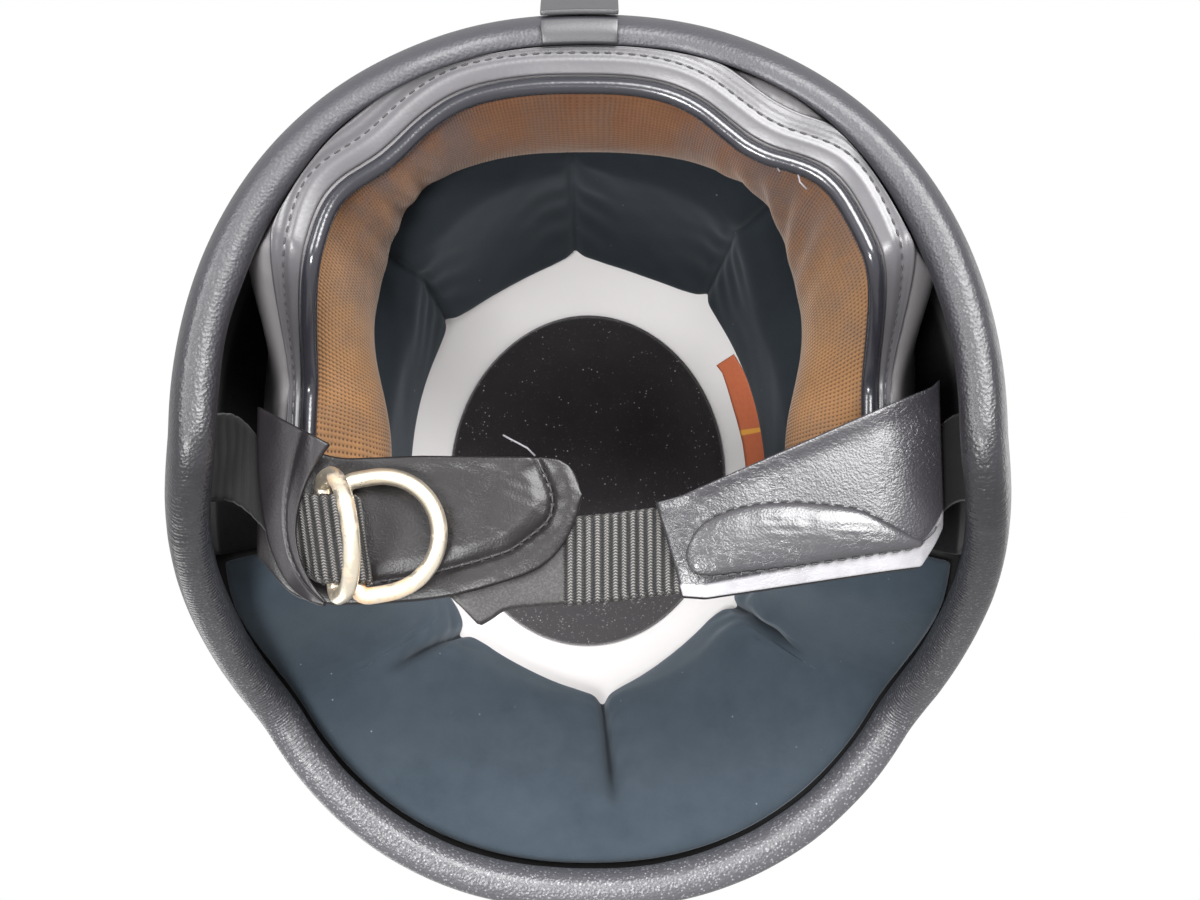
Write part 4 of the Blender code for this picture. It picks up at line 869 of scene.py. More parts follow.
# painted reflection: the roll's black vinyl is given a grey base for the white room's sheen, and its sides are painted
# paler still
rollVinyl = vinylFinish(
    "softRollVinyl", dark=(0.070, 0.067, 0.072), light=(0.120, 0.114, 0.118), rough=0.50, grainSize=1300,
    depth=0.00008, corners=0.8,
)
bandVinyl = vinylFinish(
    "pressedBandVinyl", dark=(0.050, 0.048, 0.053), light=(0.085, 0.081, 0.087), rough=0.36, grainSize=1000,
    depth=0.00010,
)
glossVinyl = vinylFinish(
    "glossyPipingVinyl", dark=(0.012, 0.012, 0.016), light=(0.024, 0.024, 0.030), rough=0.20, grainSize=900,
    depth=0.00012,
)
strapLeather = vinylFinish(
    "creasedStrapLeather", dark=(0.005, 0.004, 0.005), light=(0.012, 0.010, 0.011), rough=0.36, grainSize=1500,
    depth=0.00020, creases=0.16, shine=0.38,
)
# painted light: the right strap's leaf pad and sleeve get paler copies of the strap leather, for the light they face
leafLeather = vinylFinish(
    "silveryCreasedLeather", dark=(0.030, 0.029, 0.032), light=(0.052, 0.050, 0.055), rough=0.27, grainSize=1500,
    depth=0.00020, creases=0.45,
)
sleeveLeather = vinylFinish(
    "brightSleeveLeather", dark=(0.016, 0.015, 0.018), light=(0.032, 0.030, 0.035), rough=0.28, grainSize=1500,
    depth=0.00022, creases=0.45, strip=0.0046,
)
loopLeather = vinylFinish(
    "blackTabVinyl", dark=(0.005, 0.004, 0.005), light=(0.012, 0.010, 0.012), rough=0.40, grainSize=1500,
    depth=0.00014, creases=0.15, shine=0.35,
)
# painted reflection: a paler copy of the black tab vinyl for the keeper, for its grey sheen
keeperVinyl = vinylFinish(
    "smoothKeeperVinyl", dark=(0.022, 0.021, 0.024), light=(0.042, 0.040, 0.044), rough=0.42, grainSize=1500,
    depth=0.00010,
)
brownMesh = meshFinish()
sideCloth = clothFinish()
ribbed = webbingFinish()
blackThread = threadFinish("blackThread", (0.030, 0.028, 0.032))
greyThread = threadFinish("greyThread", (0.20, 0.19, 0.21))
rawEdge = rawEdgeFinish()
nickel = nickelFinish()
steel = steelFinish()
orangeTag = patchFinish()
print("finishes made")


# Shell

shell = {"columns": 224, "rows": 56, "rowPower": 1.2}


def shellPlace(turn, share):
    angle = rimAngle(turn)
    start = heightClimb(rimHeight(angle), helmet["height"])
    height = climbHeight(between(start, np.pi / 2, share ** shell["rowPower"]), helmet["height"])
    return shellPoint(angle, height)


shellPiece = domeSheet("paintedShell", shell["columns"], shell["rows"], shellPlace)
shellWall = shellPiece.modifiers.new("wall", "SOLIDIFY")
shellWall.thickness = helmet["wall"]
shellWall.offset = -1
shellWall.use_even_offset = True
applyAll(shellPiece)
dress(shellPiece, "helmet", paint, "outer_shell", slot="ivory_paint")
print("shell made")


# Edge trim, a padded channel whose slot holds the rim

trimSection = [(0.985, 0.97), (1.0, 0.3), (0.93, -0.5), (0.76, -0.9), (0.52, -1.0)]
trimSection += [(0.28, -0.92), (0.09, -0.55), (0.0, 0.1), (0.03, 0.62), (0.14, 0.94), (0.3, 1.0)]


def trimOutline():
    width = trim["outer"] + helmet["wall"] + trim["inner"]
    loop = [(trim["outer"] - width * (1 - a), b * (trim["heel"] if b < 0 else trim["lip"])) for a, b in trimSection]
    near, far = trim["slotGap"] - 0.0001, -helmet["wall"] - trim["slotGap"] + 0.0001
    slot = [(far - 0.0009, trim["lip"]), (far, trim["lip"] * 0.9), (far, trim["lip"] * 0.35), (far, -0.0004)]
    slot += [(near, -0.0004), (near, trim["lip"] * 0.35), (near, trim["lip"] * 0.9), (near + 0.0002, trim["lip"])]
    return np.array(loop + slot)


def rimFrame(angle):
    spot = shellPoint(angle, rimHeight(angle))
    normal = unit(fieldSlope(shellField, spot))
    step = math.radians(0.5)
    run = shellPoint(angle + step, rimHeight(angle + step)) - shellPoint(angle - step, rimHeight(angle - step))
    inward = unit(np.cross(normal, run))
    return spot, normal, inward * np.where(inward[..., 2] < 0, -1, 1)[..., None]


def besideRim(angle, across, along):
    spot, normal, inward = rimFrame(angle)
    below = spot + normal * across[:, None] + inward * along[:, None]
    beside = spot + inward * along[:, None]
    above = underShell(surfaceAngle(beside), beside[:, 2], -across)
    return np.where((along <= 0)[:, None], below, above)


def pressedTrim(angle):
    # the trim's inner thickness, squeezed by the roll at the rear
    free = ease((np.abs(angle) - trim["pressedHalf"]) / trim["pressedEase"])
    return between(trim["pressed"], trim["inner"], free)


def makeTrim():
    outline = trimOutline()
    sides = len(outline)
    deselect()
    bpy.ops.mesh.primitive_torus_add(
        major_segments=trim["around"], minor_segments=sides, major_radius=1, minor_radius=0.25, generate_uvs=False
    )
    piece = started("edgeTrimBead")
    flat = readSpots(piece)
    turn = np.arctan2(flat[:, 0], flat[:, 1])
    ring = np.arctan2(flat[:, 2], np.hypot(flat[:, 0], flat[:, 1]) - 1)
    at = np.round(ring / (2 * np.pi / sides)).astype(int) % sides
    angle = rimAngle(turn)
    across = outline[at, 0]
    wallSide = -helmet["wall"] - trim["slotGap"]
    squeeze = (pressedTrim(angle) - trim["slotGap"]) / (trim["inner"] - trim["slotGap"])
    squeezed = wallSide + (across - wallSide) * squeeze
    spots = besideRim(angle, np.where(across < wallSide, squeezed, across), outline[at, 1])
    soft = np.isin(at, range(1, len(trimSection) - 1))
    outward = unit(spots - shellPoint(angle, rimHeight(angle)) + 1e-9)
    spots = spots + outward * (uneven(spots, trim["swells"]) * soft)[:, None]
    spots[:, 2] = np.maximum(spots[:, 2], 0.0)
    moveSpots(piece, spots)
    mapCloth(piece, np.stack([turn / (2 * np.pi) + 0.5, at / sides], axis=1), (rimLength, trim["girth"]))
    faceOutward()
    subdivide(piece, 1)
    dress(piece, "helmet", trimVinyl, "edge_trim", slot="trim_vinyl")


makeTrim()
print("edge trim made")


# Foam liner

foamLiner = {"columns": 160, "rows": 16, "faceRows": 40}


def foamOutside(turn, share):
    angle = rimAngle(turn)
    start = heightClimb(foamEdge(angle), helmet["height"])
    height = climbHeight(between(start, np.pi / 2, share), helmet["height"])
    return underShell(angle, height, np.full_like(height, helmet["wall"] + headSpace["gap"]))


def foamInside(turn, share):
    return foamFace(rimAngle(turn), share)


def makeFoamLiner():
    back = domeSheet("foamOutside", foamLiner["columns"], foamLiner["rows"], foamOutside)
    face = domeSheet("foamInside", foamLiner["columns"], foamLiner["faceRows"], foamInside)
    dress(joinedAtRim("beadFoamLiner", face, back), "helmet", foamWhite, "eps_liner", slot="moulded_foam")


makeFoamLiner()
print("foam liner made")


# Crown pad

crownPad = {
    "width": 0.101, "length": 0.121, "offset": 0.0085, "thickness": 0.007, "gap": 0.0009,
    "segments": 96, "rings": 40, "swells": [(0.00035, 0.03, 5)],
}


def spaceCeiling(x, y):
    along = np.where(y > 0, headSpace["rear"], headSpace["front"])
    power, crown = helmet["planPower"], helmet["crownPower"]
    share = ((np.abs(x) / (headSpace["width"] / 2)) ** power + (np.abs(y) / along) ** power) ** (1 / power)
    return helmet["widest"] + (headSpace["top"] - helmet["widest"]) * (1 - share**crown) ** (1 / crown)


def makeCrownPad():
    deselect()
    bpy.ops.mesh.primitive_uv_sphere_add(segments=crownPad["segments"], ring_count=crownPad["rings"], radius=1)
    piece = started("crownPadVelvet")
    unitSpots = readSpots(piece)
    x = unitSpots[:, 0] * crownPad["width"] / 2
    y = crownPad["offset"] + unitSpots[:, 1] * crownPad["length"] / 2
    ceiling = spotsAt(x, y, spaceCeiling(x, y))
    puff = np.maximum(0, -unitSpots[:, 2]) ** 0.55
    depth = crownPad["gap"] + crownPad["thickness"] * puff + uneven(ceiling, crownPad["swells"]) * puff
    moveSpots(piece, ceiling - unit(fieldSlope(spaceField, ceiling)) * depth[:, None])
    faceOutward()
    dress(piece, "helmet", velvet, "crown_pad", slot="pad_velvet")


makeCrownPad()
print("crown pad made")


# Comfort lining: suede panels that meet in darts


def dartNear(angle, across=1.0):
    # how far each point is from its nearest dart, and that dart's length
    away = np.full_like(angle, 9.0)
    length = np.zeros_like(angle)
    for degrees, run, lean in darts:
        leaning = degrees + lean * (1 - across) / run
        off = np.abs((angle - np.radians(leaning) + np.pi) % (2 * np.pi) - np.pi)
        length = np.where(off < away, run, length)
        away = np.minimum(off, away)
    return away, length


def panelShare(angle):
    # 0 at each dart and 1 midway between two
    marks = sorted(math.radians(one[0]) for one in darts)
    marks.append(marks[0] + 2 * np.pi)
    turn = (angle - marks[0]) % (2 * np.pi) + marks[0]
    at = np.clip(np.searchsorted(marks, turn, side="right") - 1, 0, len(marks) - 2)
    low, high = np.array(marks)[at], np.array(marks)[at + 1]
    return np.sin(np.pi * (turn - low) / (high - low))


def liningEdge(angle):
    forward = ease((np.abs(angle) - lining["browLiftStart"]) / (lining["browLiftEnd"] - lining["browLiftStart"]))
    away, _ = dartNear(angle)
    cusp = np.clip(1 - away / lining["cusp"], 0, 1) ** 1.6
    side = np.exp(-(((np.abs(angle) - lining["side"]) / lining["sideSpread"]) ** 2))
    scallop = lining["notch"] * (panelShare(angle) * 1.1 - cusp * 0.45) / 2
    return lining["top"] + lining["browLift"] * forward + scallop - lining["sideDrop"] * side


def liningPlace(middle, halfTurn, startShare):
    def place(along, across, front):
        angle = middle + (along * 2 - 1) * halfTurn
        turn = (angle + np.pi) % (2 * np.pi) - np.pi
        share = between(startShare, foamShare(turn, liningEdge(turn)), across)
        base = foamFace(turn, share)
        if not front:
            return offFoam(turn, share, np.full_like(turn, lining["gap"]))
        away, length = dartNear(turn, across)
        reach = ease((across - 1 + length) / 0.22 + (length > 0.9) * 5)
        crease = np.exp(-((away / lining["creaseAngle"]) ** 1.3)) * reach
        pull = np.exp(-((away / lining["pullAngle"]) ** 2)) * reach
        crown = np.clip(np.sin(np.pi * np.clip(across, 0, 1)), 0, 1) ** 0.7
        puff = lining["puff"] * crown * (1 - 0.6 * pull)
        soft = uneven(base, lining["swells"])
        gathers = lining["gathers"] * np.sin(across * 34 + 3 * np.sin(turn * 9)) * pull * (1 - crease)
        sewn = lining["creaseDepth"] * (1 - 0.4 * (np.abs(turn) < math.radians(90))) * crease
        depth = lining["gap"] + lining["thickness"] + puff + (soft + gathers) * crown - sewn
        return offFoam(turn, share, depth)

    return place


def makeLining(name, node, middle, halfTurn, startShare, columns, rows, finish):
    place = liningPlace(middle, halfTurn, startShare)
    piece = sewnSlab(
        name, columns, rows,
        lambda along, across: place(along, across, True),
        lambda along, across: place(along, across, False),
        (halfTurn * lining["clothPerRadian"], lining["height"]),
    )
    dress(piece, "helmet", finish, node, slot="lining_suede")


makeLining(
    "suedeLiningFront", "comfort_lining_front", math.pi, frontHalf, lining["frontStart"],
    lining["frontColumns"], lining["frontRows"], suede,
)
makeLining(
    "suedeLiningRear", "comfort_lining_rear", 0.0, rearHalf, lining["rearStart"],
    lining["rearColumns"], lining["rearRows"], shadedRearSuede,
)
print("comfort lining made")


# Neck roll

roll = {
    "halfWidth": 0.0870, "rear": 0.0960, "power": 2.55, "floor": 0.009, "endLift": 0.037,
    "liftStart": 0.050, "liftEnd": 0.014, "endAngle": math.radians(92), "bottomWidth": 0.0145,
    "topWidth": 0.030, "sideWidth": 0.019, "endTaper": 0.60, "trimGap": 0.0003, "columns": 190, "rows": 30,
    "cloth": (0.34, 0.05), "sideStart": math.radians(30), "sideEase": math.radians(35),
    "thinStart": math.radians(54), "thinEase": math.radians(24), "thinned": 0.72,
    "leanStart": math.radians(58), "leanEase": math.radians(32), "rearLean": 0.35, "pucker": 0.00035,
    "bulges": [(0.0011, 0.042, 23)], "swells": [(0.0004, 0.02, 22)],
    # degrees round the roll, and how far it has moved out there
    "settled": [
        (-92, 0.0), (-70, 0.0030), (-58, 0.0025), (-50, 0.0028), (-44, 0.0010), (-38, -0.0028), (-32, -0.0050),
        (-25, -0.0036), (-19, -0.0004), (-14, 0.0024), (-6, 0.0047), (3, 0.0051), (11, 0.0049), (19, 0.0044),
        (25, 0.0024), (31, 0.0004), (37, -0.0015), (43, -0.0009), (51, 0.0024), (57, 0.0024), (63, 0.0008),
        (70, 0.0), (92, 0.0),
    ],
}
facing = {
    "thickness": 0.003, "crown": 0.0042, "inset": 0.06, "deepWidth": 0.0665, "columns": 150, "rows": 18,
    "bend": math.radians(42), "bendSpread": math.radians(15), "foldDepth": 0.0011,
    "swells": [(0.0006, 0.03, 31), (0.0003, 0.013, 32)],
}
rollBand = {
    "start": 0.012, "end": 0.205, "thickness": 0.0010, "gap": 0.0007, "groove": 0.55, "grooveWidth": 0.13,
    "grooveDepth": 0.0009, "bead": 0.93, "beadWidth": 0.07, "beadHeight": 0.0007, "columns": 150, "rows": 16,
    "girth": 0.011,
}
rollStitch = {"length": 0.0022, "gap": 0.0013, "width": 0.00065, "sunk": 0.35}
piping = {"diameter": 0.0050, "courseSpots": 220, "seamSpots": 500}
earLining = {
    "thickness": 0.002, "rear": math.radians(64), "front": math.radians(100.2), "rimClearance": 0.0125,
    "gap": 0.0012, "foamEnd": 0.15, "columns": 40, "rows": 24, "cloth": (0.08, 0.08),
}
softGap = 0.0006


def settled(angle, share=0.0):
    # how far the worn roll has moved out from its even curve, at its lower edge and less further in
    degrees, moves = zip(*roll["settled"])
    taps = [np.interp(np.degrees(angle) + tap, degrees, moves) for tap in np.linspace(-4, 4, 9)]
    return np.mean(taps, axis=0) * (1 - ease(share))


def rollLine(angle, outward):
    outward = outward + settled(angle)
    reach = roll["rear"] + outward
    x, y = eggLine(angle, roll["halfWidth"] + outward, reach, reach, roll["power"])
    return spotsAt(x, y, 0)


def rollBottom(angle):
    y = rollLine(angle, 0.0)[:, 1]
    return roll["floor"] + roll["endLift"] * ease((roll["liftStart"] - y) / (roll["liftStart"] - roll["liftEnd"]))


def rollTop(spots):
    angle = surfaceAngle(spots)
    underEar = ease((np.abs(angle) - earLining["rear"] * 0.45) / (earLining["rear"] * 0.35))
    sunk = (earLining["gap"] + earLining["thickness"] + 2 * softGap) * underEar
    return foamFace(angle, 0.0)[:, 2] - headSpace["touch"] - sunk


def sideShare(angle):
    return ease((np.abs(angle) - roll["sideStart"]) / roll["sideEase"])


def heldIn(spots):
    # clear of the trim and, above it, of the shell
    for _ in range(3):
        slope = fieldSlope(shellField, spots)
        steep = np.linalg.norm(slope, axis=-1)
        depth = (1 - shellField(spots)) / steep
        angle = surfaceAngle(spots)
        overTrim = ease((spots[:, 2] - rimHeight(angle) - trim["lip"]) / (trim["lip"] / 3) - 0.6)
        needed = helmet["wall"] + roll["trimGap"] + pressedTrim(angle) * (1 - overTrim) + trim["slotGap"]
        spots = spots - slope / steep[:, None] * np.maximum(0, needed - depth)[:, None]
    return spots


def bezier(points, share):
    points = [np.asarray(p, float) for p in points]
    while len(points) > 1:
        points = [between(a, b, share) for a, b in zip(points, points[1:])]
    return points[0]


def rollBack(angle, share, lift=0.0):
    side = sideShare(angle)
    topWidth = between(roll["topWidth"], roll["sideWidth"], side)
    low = rollBottom(angle)
    high = rollTop(rollLine(angle, topWidth))
    raised = (low - roll["floor"]) / roll["endLift"]
    narrow = roll["bottomWidth"] * (1 - raised * roll["endTaper"])
    full = 1 - roll["thinned"] * ease((np.abs(angle) - roll["thinStart"]) / roll["thinEase"])
    zero = np.zeros_like(angle)
    widths = [zero, narrow * (0.7 + 0.2 * full), narrow * (1.6 + 0.9 * full), narrow * (1.05 + 0.4 * full), topWidth]
    across = bezier(widths, share)
    sag, belly, upper = narrow * (0.42 + 0.03 * full), narrow * (0.1 + 0.24 * full), narrow * (1.2 - 0.1 * full)
    rise = bezier([zero, -sag, -belly, upper, high - low], share)
    spots = rollLine(angle, across)
    spots[:, 2] = low + rise
    return heldIn(spots) - np.array([0, 0, 1]) * np.asarray(lift)[..., None]


def rollFront(angle, share, inward=0.0):
    beside = ease((np.abs(angle) - roll["leanStart"]) / roll["leanEase"])
    leaning = between(roll["rearLean"] * sideShare(angle), 1.0, beside)
    lean = (roll["halfWidth"] - facing["deepWidth"]) * leaning * ease(share)
    moved = settled(angle, share) - lean - inward
    reach = roll["rear"] + moved
    x, y = eggLine(angle, roll["halfWidth"] + moved, reach, reach, roll["power"])
    top = rollTop(rollLine(angle, 0.0))
    return spotsAt(x, y, between(rollBottom(angle), top, share))


def rollTurn(along):
    return (along * 2 - 1) * roll["endAngle"]


def makeRoll():
    def lowerFace(along, across):
        angle = rollTurn(along)
        spots = rollBack(angle, across)
        belly = np.sin(np.pi * np.clip((across - 0.2) / 0.6, 0, 1))
        outwards = unit(spots * np.array([1, 1, 0])) * 0.1
        soft = (uneven(outwards, roll["bulges"]) + uneven(spots, roll["swells"])) * belly
        sewn = np.clip((across - rollBand["end"]) / 0.2, 0, 1)
        besideSeam = np.exp(-((sewn / 0.45) ** 2)) * (across > 0.18)
        pucker = roll["pucker"] * np.sin(along * 420 + 2 * np.sin(along * 61)) * besideSeam
        return spots - np.array([0, 0, 1]) * (soft + pucker)[:, None]

    def innerFace(along, across):
        return rollFront(rollTurn(along), across)

    body = sewnSlab("neckRollBody", roll["columns"], roll["rows"], lowerFace, innerFace, roll["cloth"])
    dress(body, "helmet", rollVinyl, "neck_roll", slot="roll_vinyl")

    def facingBack(along, across):
        return rollFront(rollTurn(along), between(facing["inset"], 1.0, across), softGap)

    def facingFront(along, across):
        angle = rollTurn(along)
        share = between(facing["inset"], 1.0, across)
        crown = facing["crown"] * np.clip(np.sin(np.pi * across), 0, 1) ** 0.7
        flat = rollFront(angle, share, 0.0)
        bends = np.exp(-(((np.abs(angle) - facing["bend"]) / facing["bendSpread"]) ** 2))
        folds = facing["foldDepth"] * np.sin(angle * 46 + across * 5) * bends * np.sin(np.pi * across)
        soft = uneven(flat, facing["swells"]) * np.sin(np.pi * across)
        return rollFront(angle, share, softGap + facing["thickness"] * 0.6 + crown + folds + soft)

    mesh = sewnSlab("neckRollMeshFacing", facing["columns"], facing["rows"], facingBack, facingFront, roll["cloth"])
    dress(mesh, "helmet", brownMesh, "neck_roll_mesh", slot="brown_mesh")

    def bandSheet(extra):
        def place(along, across):
            share = between(rollBand["start"], rollBand["end"], across)
            groove = np.exp(-(((across - rollBand["groove"]) / rollBand["grooveWidth"]) ** 2)) * rollBand["grooveDepth"]
            bead = np.exp(-(((across - rollBand["bead"]) / rollBand["beadWidth"]) ** 2)) * rollBand["beadHeight"]
            rise = extra * (rollBand["thickness"] - groove + bead)
            return rollBack(rollTurn(along), share, rollBand["gap"] + rise + np.zeros_like(along))

        return place

    clothSize = (roll["cloth"][0], rollBand["girth"])
    band = sewnSlab(
        "neckRollSewnBand", rollBand["columns"], rollBand["rows"], bandSheet(0), bandSheet(1), clothSize
    )
    dress(band, "helmet", bandVinyl, "neck_roll_band", slot="roll_vinyl")

    drop = piping["diameter"] / 2
    angle = rollTurn(np.linspace(0, 1, piping["courseSpots"]))
    line = rollLine(angle, -drop * 0.8 - softGap)
    line[:, 2] = rollBottom(angle) - drop * 0.5
    bead = tube("neckRollPiping", line, drop, sides=5)
    dress(bead, "helmet", glossVinyl, "neck_roll_piping", slot="roll_vinyl")

    along = np.linspace(0.02, 0.98, piping["seamSpots"])
    across = np.full_like(along, between(rollBand["start"], rollBand["end"], rollBand["groove"]))
    seam = rollBack(rollTurn(along), across, np.full_like(along, rollBand["gap"] + rollBand["thickness"] * 0.15))
    dress(stitched("neckRollStitches", seam, rollStitch), "helmet", blackThread)


makeRoll()
print("neck roll made")


# Ear linings


def earPlace(side):
    def place(along, across, depth):
        angle = between(earLining["rear"], earLining["front"], along)
        edge = foamEdge(angle)
        low = aboveRim(angle, earLining["rimClearance"])
        onShell = underShell(angle, between(low, edge - depth, across * 2), helmet["wall"] + depth)
        foamDepth = np.linalg.norm(shellPoint(angle, edge) - spacePoint(angle, edge), axis=1)
        start = np.arcsin(depth / foamDepth * 1.5) / (np.pi / 2) * headSpace["turnShare"]
        onFoam = offFoam(angle, between(start, earLining["foamEnd"], np.clip(across * 2 - 1, 0, 1)), depth)
        spots = np.where((across <= 0.5)[:, None], onShell, onFoam)
        return spots * np.array([side, 1, 1])

    return place


def makeEarLining(side, word):
    place = earPlace(side)

    def face(along, across):
        return place(along, across, np.full_like(along, earLining["gap"] + earLining["thickness"]))

    def back(along, across):
        return place(along, across, np.full_like(along, earLining["gap"]))

    piece = sewnSlab(f"earLining{word}", earLining["columns"], earLining["rows"], face, back, earLining["cloth"])
    dress(piece, "helmet", sideCloth, f"ear_lining_{word.lower()}", slot="side_cloth")


makeEarLining(1, "Left")
makeEarLining(-1, "Right")
print("ear linings made")


# Chin straps: webbing round the hanger bars, leather over it

strap = {
    "barMiddle": 0.114829, "barHeight": 0.0379, "barRadius": math.hypot(0.0014, 0.0028) / 2 + 0.00035,
    "middle": -0.0065, "leftShift": -0.0255, "leather": 0.0022,
}
dRing = {
    "wire": 0.005, "inside": 0.0295, "reach": 0.0265, "spacing": 0.0063, "corner": 0.005, "height": 0.0325,
    "innerReach": 0.0390, "innerTilt": math.radians(70), "outerTilt": math.radians(6), "skew": math.radians(9),
    "loopGap": 0.00035,
}
tab = {
    "start": 0.017, "length": 0.040, "width": 0.060, "raised": 0.0005, "seam": 0.62, "seamWidth": 0.06,
    "seamDepth": 0.0005, "seamEnds": (0.22, 0.80), "seamSpots": 60, "rawEdge": 0.9, "columns": 22, "rows": 70,
    "cloth": (0.02, 0.062), "swells": [(0.00022, 0.012, 41)],
}
tabStitch = {"length": 0.0020, "gap": 0.0012, "width": 0.0006, "sunk": 0.3}
# an edge is a table of shares along the piece and across its width, and the seam a line of points in plan
flap = {
    "length": 0.096, "width": 0.0425, "swell": 0.0012, "seamDepth": 0.0009, "seamWidth": 0.0011, "foldWidth": 0.10,
    "foldDepth": 0.0010, "columns": 130, "rows": 54, "cloth": (0.1, 0.045),
    "swells": [(0.0003, 0.02, 52)], "creases": [(0.00016, 0.008, 51)], "creaseDraw": (1, 2.2, 1),
    "rearEdge": [
        (0.0, 1.33), (0.1, 1.1), (0.25, 1.0), (0.5, 1.02), (0.88, 1.0), (0.93, 0.985), (0.96, 0.945),
        (0.98, 0.885), (0.992, 0.82), (1.0, 0.745),
    ],
    "frontEdge": [
        (0.0, 0.35), (0.1, 0.04), (0.22, -0.03), (0.38, -0.02), (0.5, 0.0), (0.6, 0.03), (0.69, 0.08),
        (0.773, 0.135), (0.828, 0.178), (0.873, 0.228), (0.909, 0.292), (0.94, 0.375), (0.965, 0.475),
        (0.985, 0.58), (0.995, 0.66), (1.0, 0.72),
    ],
    "seam": [
        (0.0157, -0.0066), (0.0124, -0.0129), (0.0106, -0.0174), (0.0103, -0.0213), (0.0115, -0.0258),
        (0.0156, -0.0293), (0.0229, -0.0347), (0.0332, -0.0379), (0.0405, -0.0397), (0.0492, -0.0420),
        (0.0640, -0.0440),
    ],
    "looseThread": [
        (0.0157, -0.0066, 0.0348), (0.0180, -0.0044, 0.0340), (0.0205, -0.0030, 0.0342),
        (0.0230, -0.0016, 0.0348), (0.0252, -0.0003, 0.0352),
    ],
    "threadRadius": 0.00028,
}
flapStitch = {"length": 0.0024, "gap": 0.0007, "width": 0.00055, "sunk": 0.25}
# the tail's point: how far past the middle, and how far in its front edge lies there
rightStrap = {
    "start": -0.010, "slope": 0.300, "bend": 0.030, "tailSlope": 0.08, "flatHeight": 0.0318,
    "tailHeight": 0.0400, "ribEnd": -0.0068, "ribEase": 0.0006, "tip": -0.0405, "tailStart": -0.0215,
    "point": [
        (0.0215, 0.0), (0.0255, 0.0008), (0.0300, 0.0034), (0.0320, 0.0042), (0.0376, -0.0022), (0.0405, -0.0050),
    ],
    "narrowStart": -0.030, "narrowEase": 0.010, "narrowWidth": 0.006,
}
sleeve = {
    "start": 0.0105, "length": 0.0815, "wide": 0.0535, "narrow": 0.0275, "cornerLength": 0.0075,
    "cornerWidth": 0.0095, "puff": 0.35, "rearRoll": 0.0011, "stripSlope": 0.0017, "slant": 0.28, "rawEdge": 0.95,
    "columns": 110, "rows": 60, "girth": 0.04, "backingColumns": 60, "backingRows": 30,
    "swells": [(0.00024, 0.032, 62)], "backingSwells": [(0.00025, 0.02, 63)],
    "creases": [(0.00020, 0.006, 61)], "creaseDraw": (1, 1.6, 1),
}
leafPad = {
    "start": 0.007, "length": 0.069, "crown": 0.0028, "segments": 96, "rings": 48, "seamSpots": 90,
    "seamAside": 0.02, "seamDrop": 0.0002,
    "rearEdge": [
        (0.0, 0.13), (0.11, 0.235), (0.28, 0.42), (0.42, 0.51), (0.54, 0.59), (0.68, 0.665), (0.8, 0.705),
        (0.88, 0.70), (0.93, 0.67), (0.965, 0.61), (0.987, 0.53), (1.0, 0.43),
    ],
    "frontEdge": [
        (0.0, 0.11), (0.07, 0.10), (0.54, 0.12), (0.88, 0.165), (0.94, 0.19), (0.975, 0.24), (0.992, 0.30), (1.0, 0.38),
    ],
    "looseThread": [
        (0.0, 0.0, 0.0), (-0.0016, 0.0012, -0.0006), (-0.0030, 0.0026, -0.0010), (-0.0040, 0.0042, -0.0010),
    ],
    "threadDrop": 0.0003, "threadRadius": 0.00035,
    "swells": [(0.00022, 0.022, 72)], "creases": [(0.00012, 0.006, 71)], "creaseDraw": (1, 1.8, 1),
}
leafStitch = {"length": 0.0026, "gap": 0.0014, "width": 0.0007, "sunk": 0.2}

flatHalf = webbing["thickness"] + webbing["seamGap"]
ringInsideX = strap["barMiddle"] - dRing["innerReach"]
ringOutsideX = ringInsideX - dRing["spacing"]
loopRadius = dRing["wire"] / 2 + dRing["loopGap"] + webbing["thickness"]
barLoop = strap["barRadius"] + webbing["thickness"]
loopStartX = ringInsideX + loopRadius * 2.1
loopFullX = ringInsideX + loopRadius * 0.3


def leftHalf(x):
    return between(flatHalf, loopRadius, ease((loopStartX - x) / (loopStartX - loopFullX)))


def leftHeight(x):
    start = strap["barMiddle"] - barLoop
    return between(strap["barHeight"], dRing["height"], ease((start - x) / (start - loopStartX)))


def leftShift(x):
    return strap["middle"] + strap["leftShift"] * ease((strap["barMiddle"] - barLoop * 2 - x) / (tab["length"] * 0.75))


def skewShare(x):
    start = strap["barMiddle"] - barLoop * 2
    return ease((start - x) / (start - ringInsideX - loopRadius))


def rightShift(x):
    start = strap["barMiddle"] - barLoop
    line = rightStrap["start"] - rightStrap["slope"] * np.maximum(0, start - np.maximum(x, rightStrap["bend"]))
    line = line - rightStrap["tailSlope"] * np.maximum(0, rightStrap["bend"] - x)
    return between(strap["middle"], line, ease((start - x) / sleeve["start"]))


def rightHeight(x):
    middle = strap["barMiddle"]
    tipX = flap["length"] + tab["start"] - middle
    fall = between(strap["barHeight"], rightStrap["flatHeight"], ease((middle - x) / (middle * 0.28)))
    return between(fall, rightStrap["tailHeight"], ease((tipX + middle * 0.3 - x) / (middle * 0.26)))


def arc(x, z, radius, start, end, count=24):
    turns = np.linspace(start, end, count)
    return np.stack([x + radius * np.cos(turns), z + radius * np.sin(turns)], axis=1)


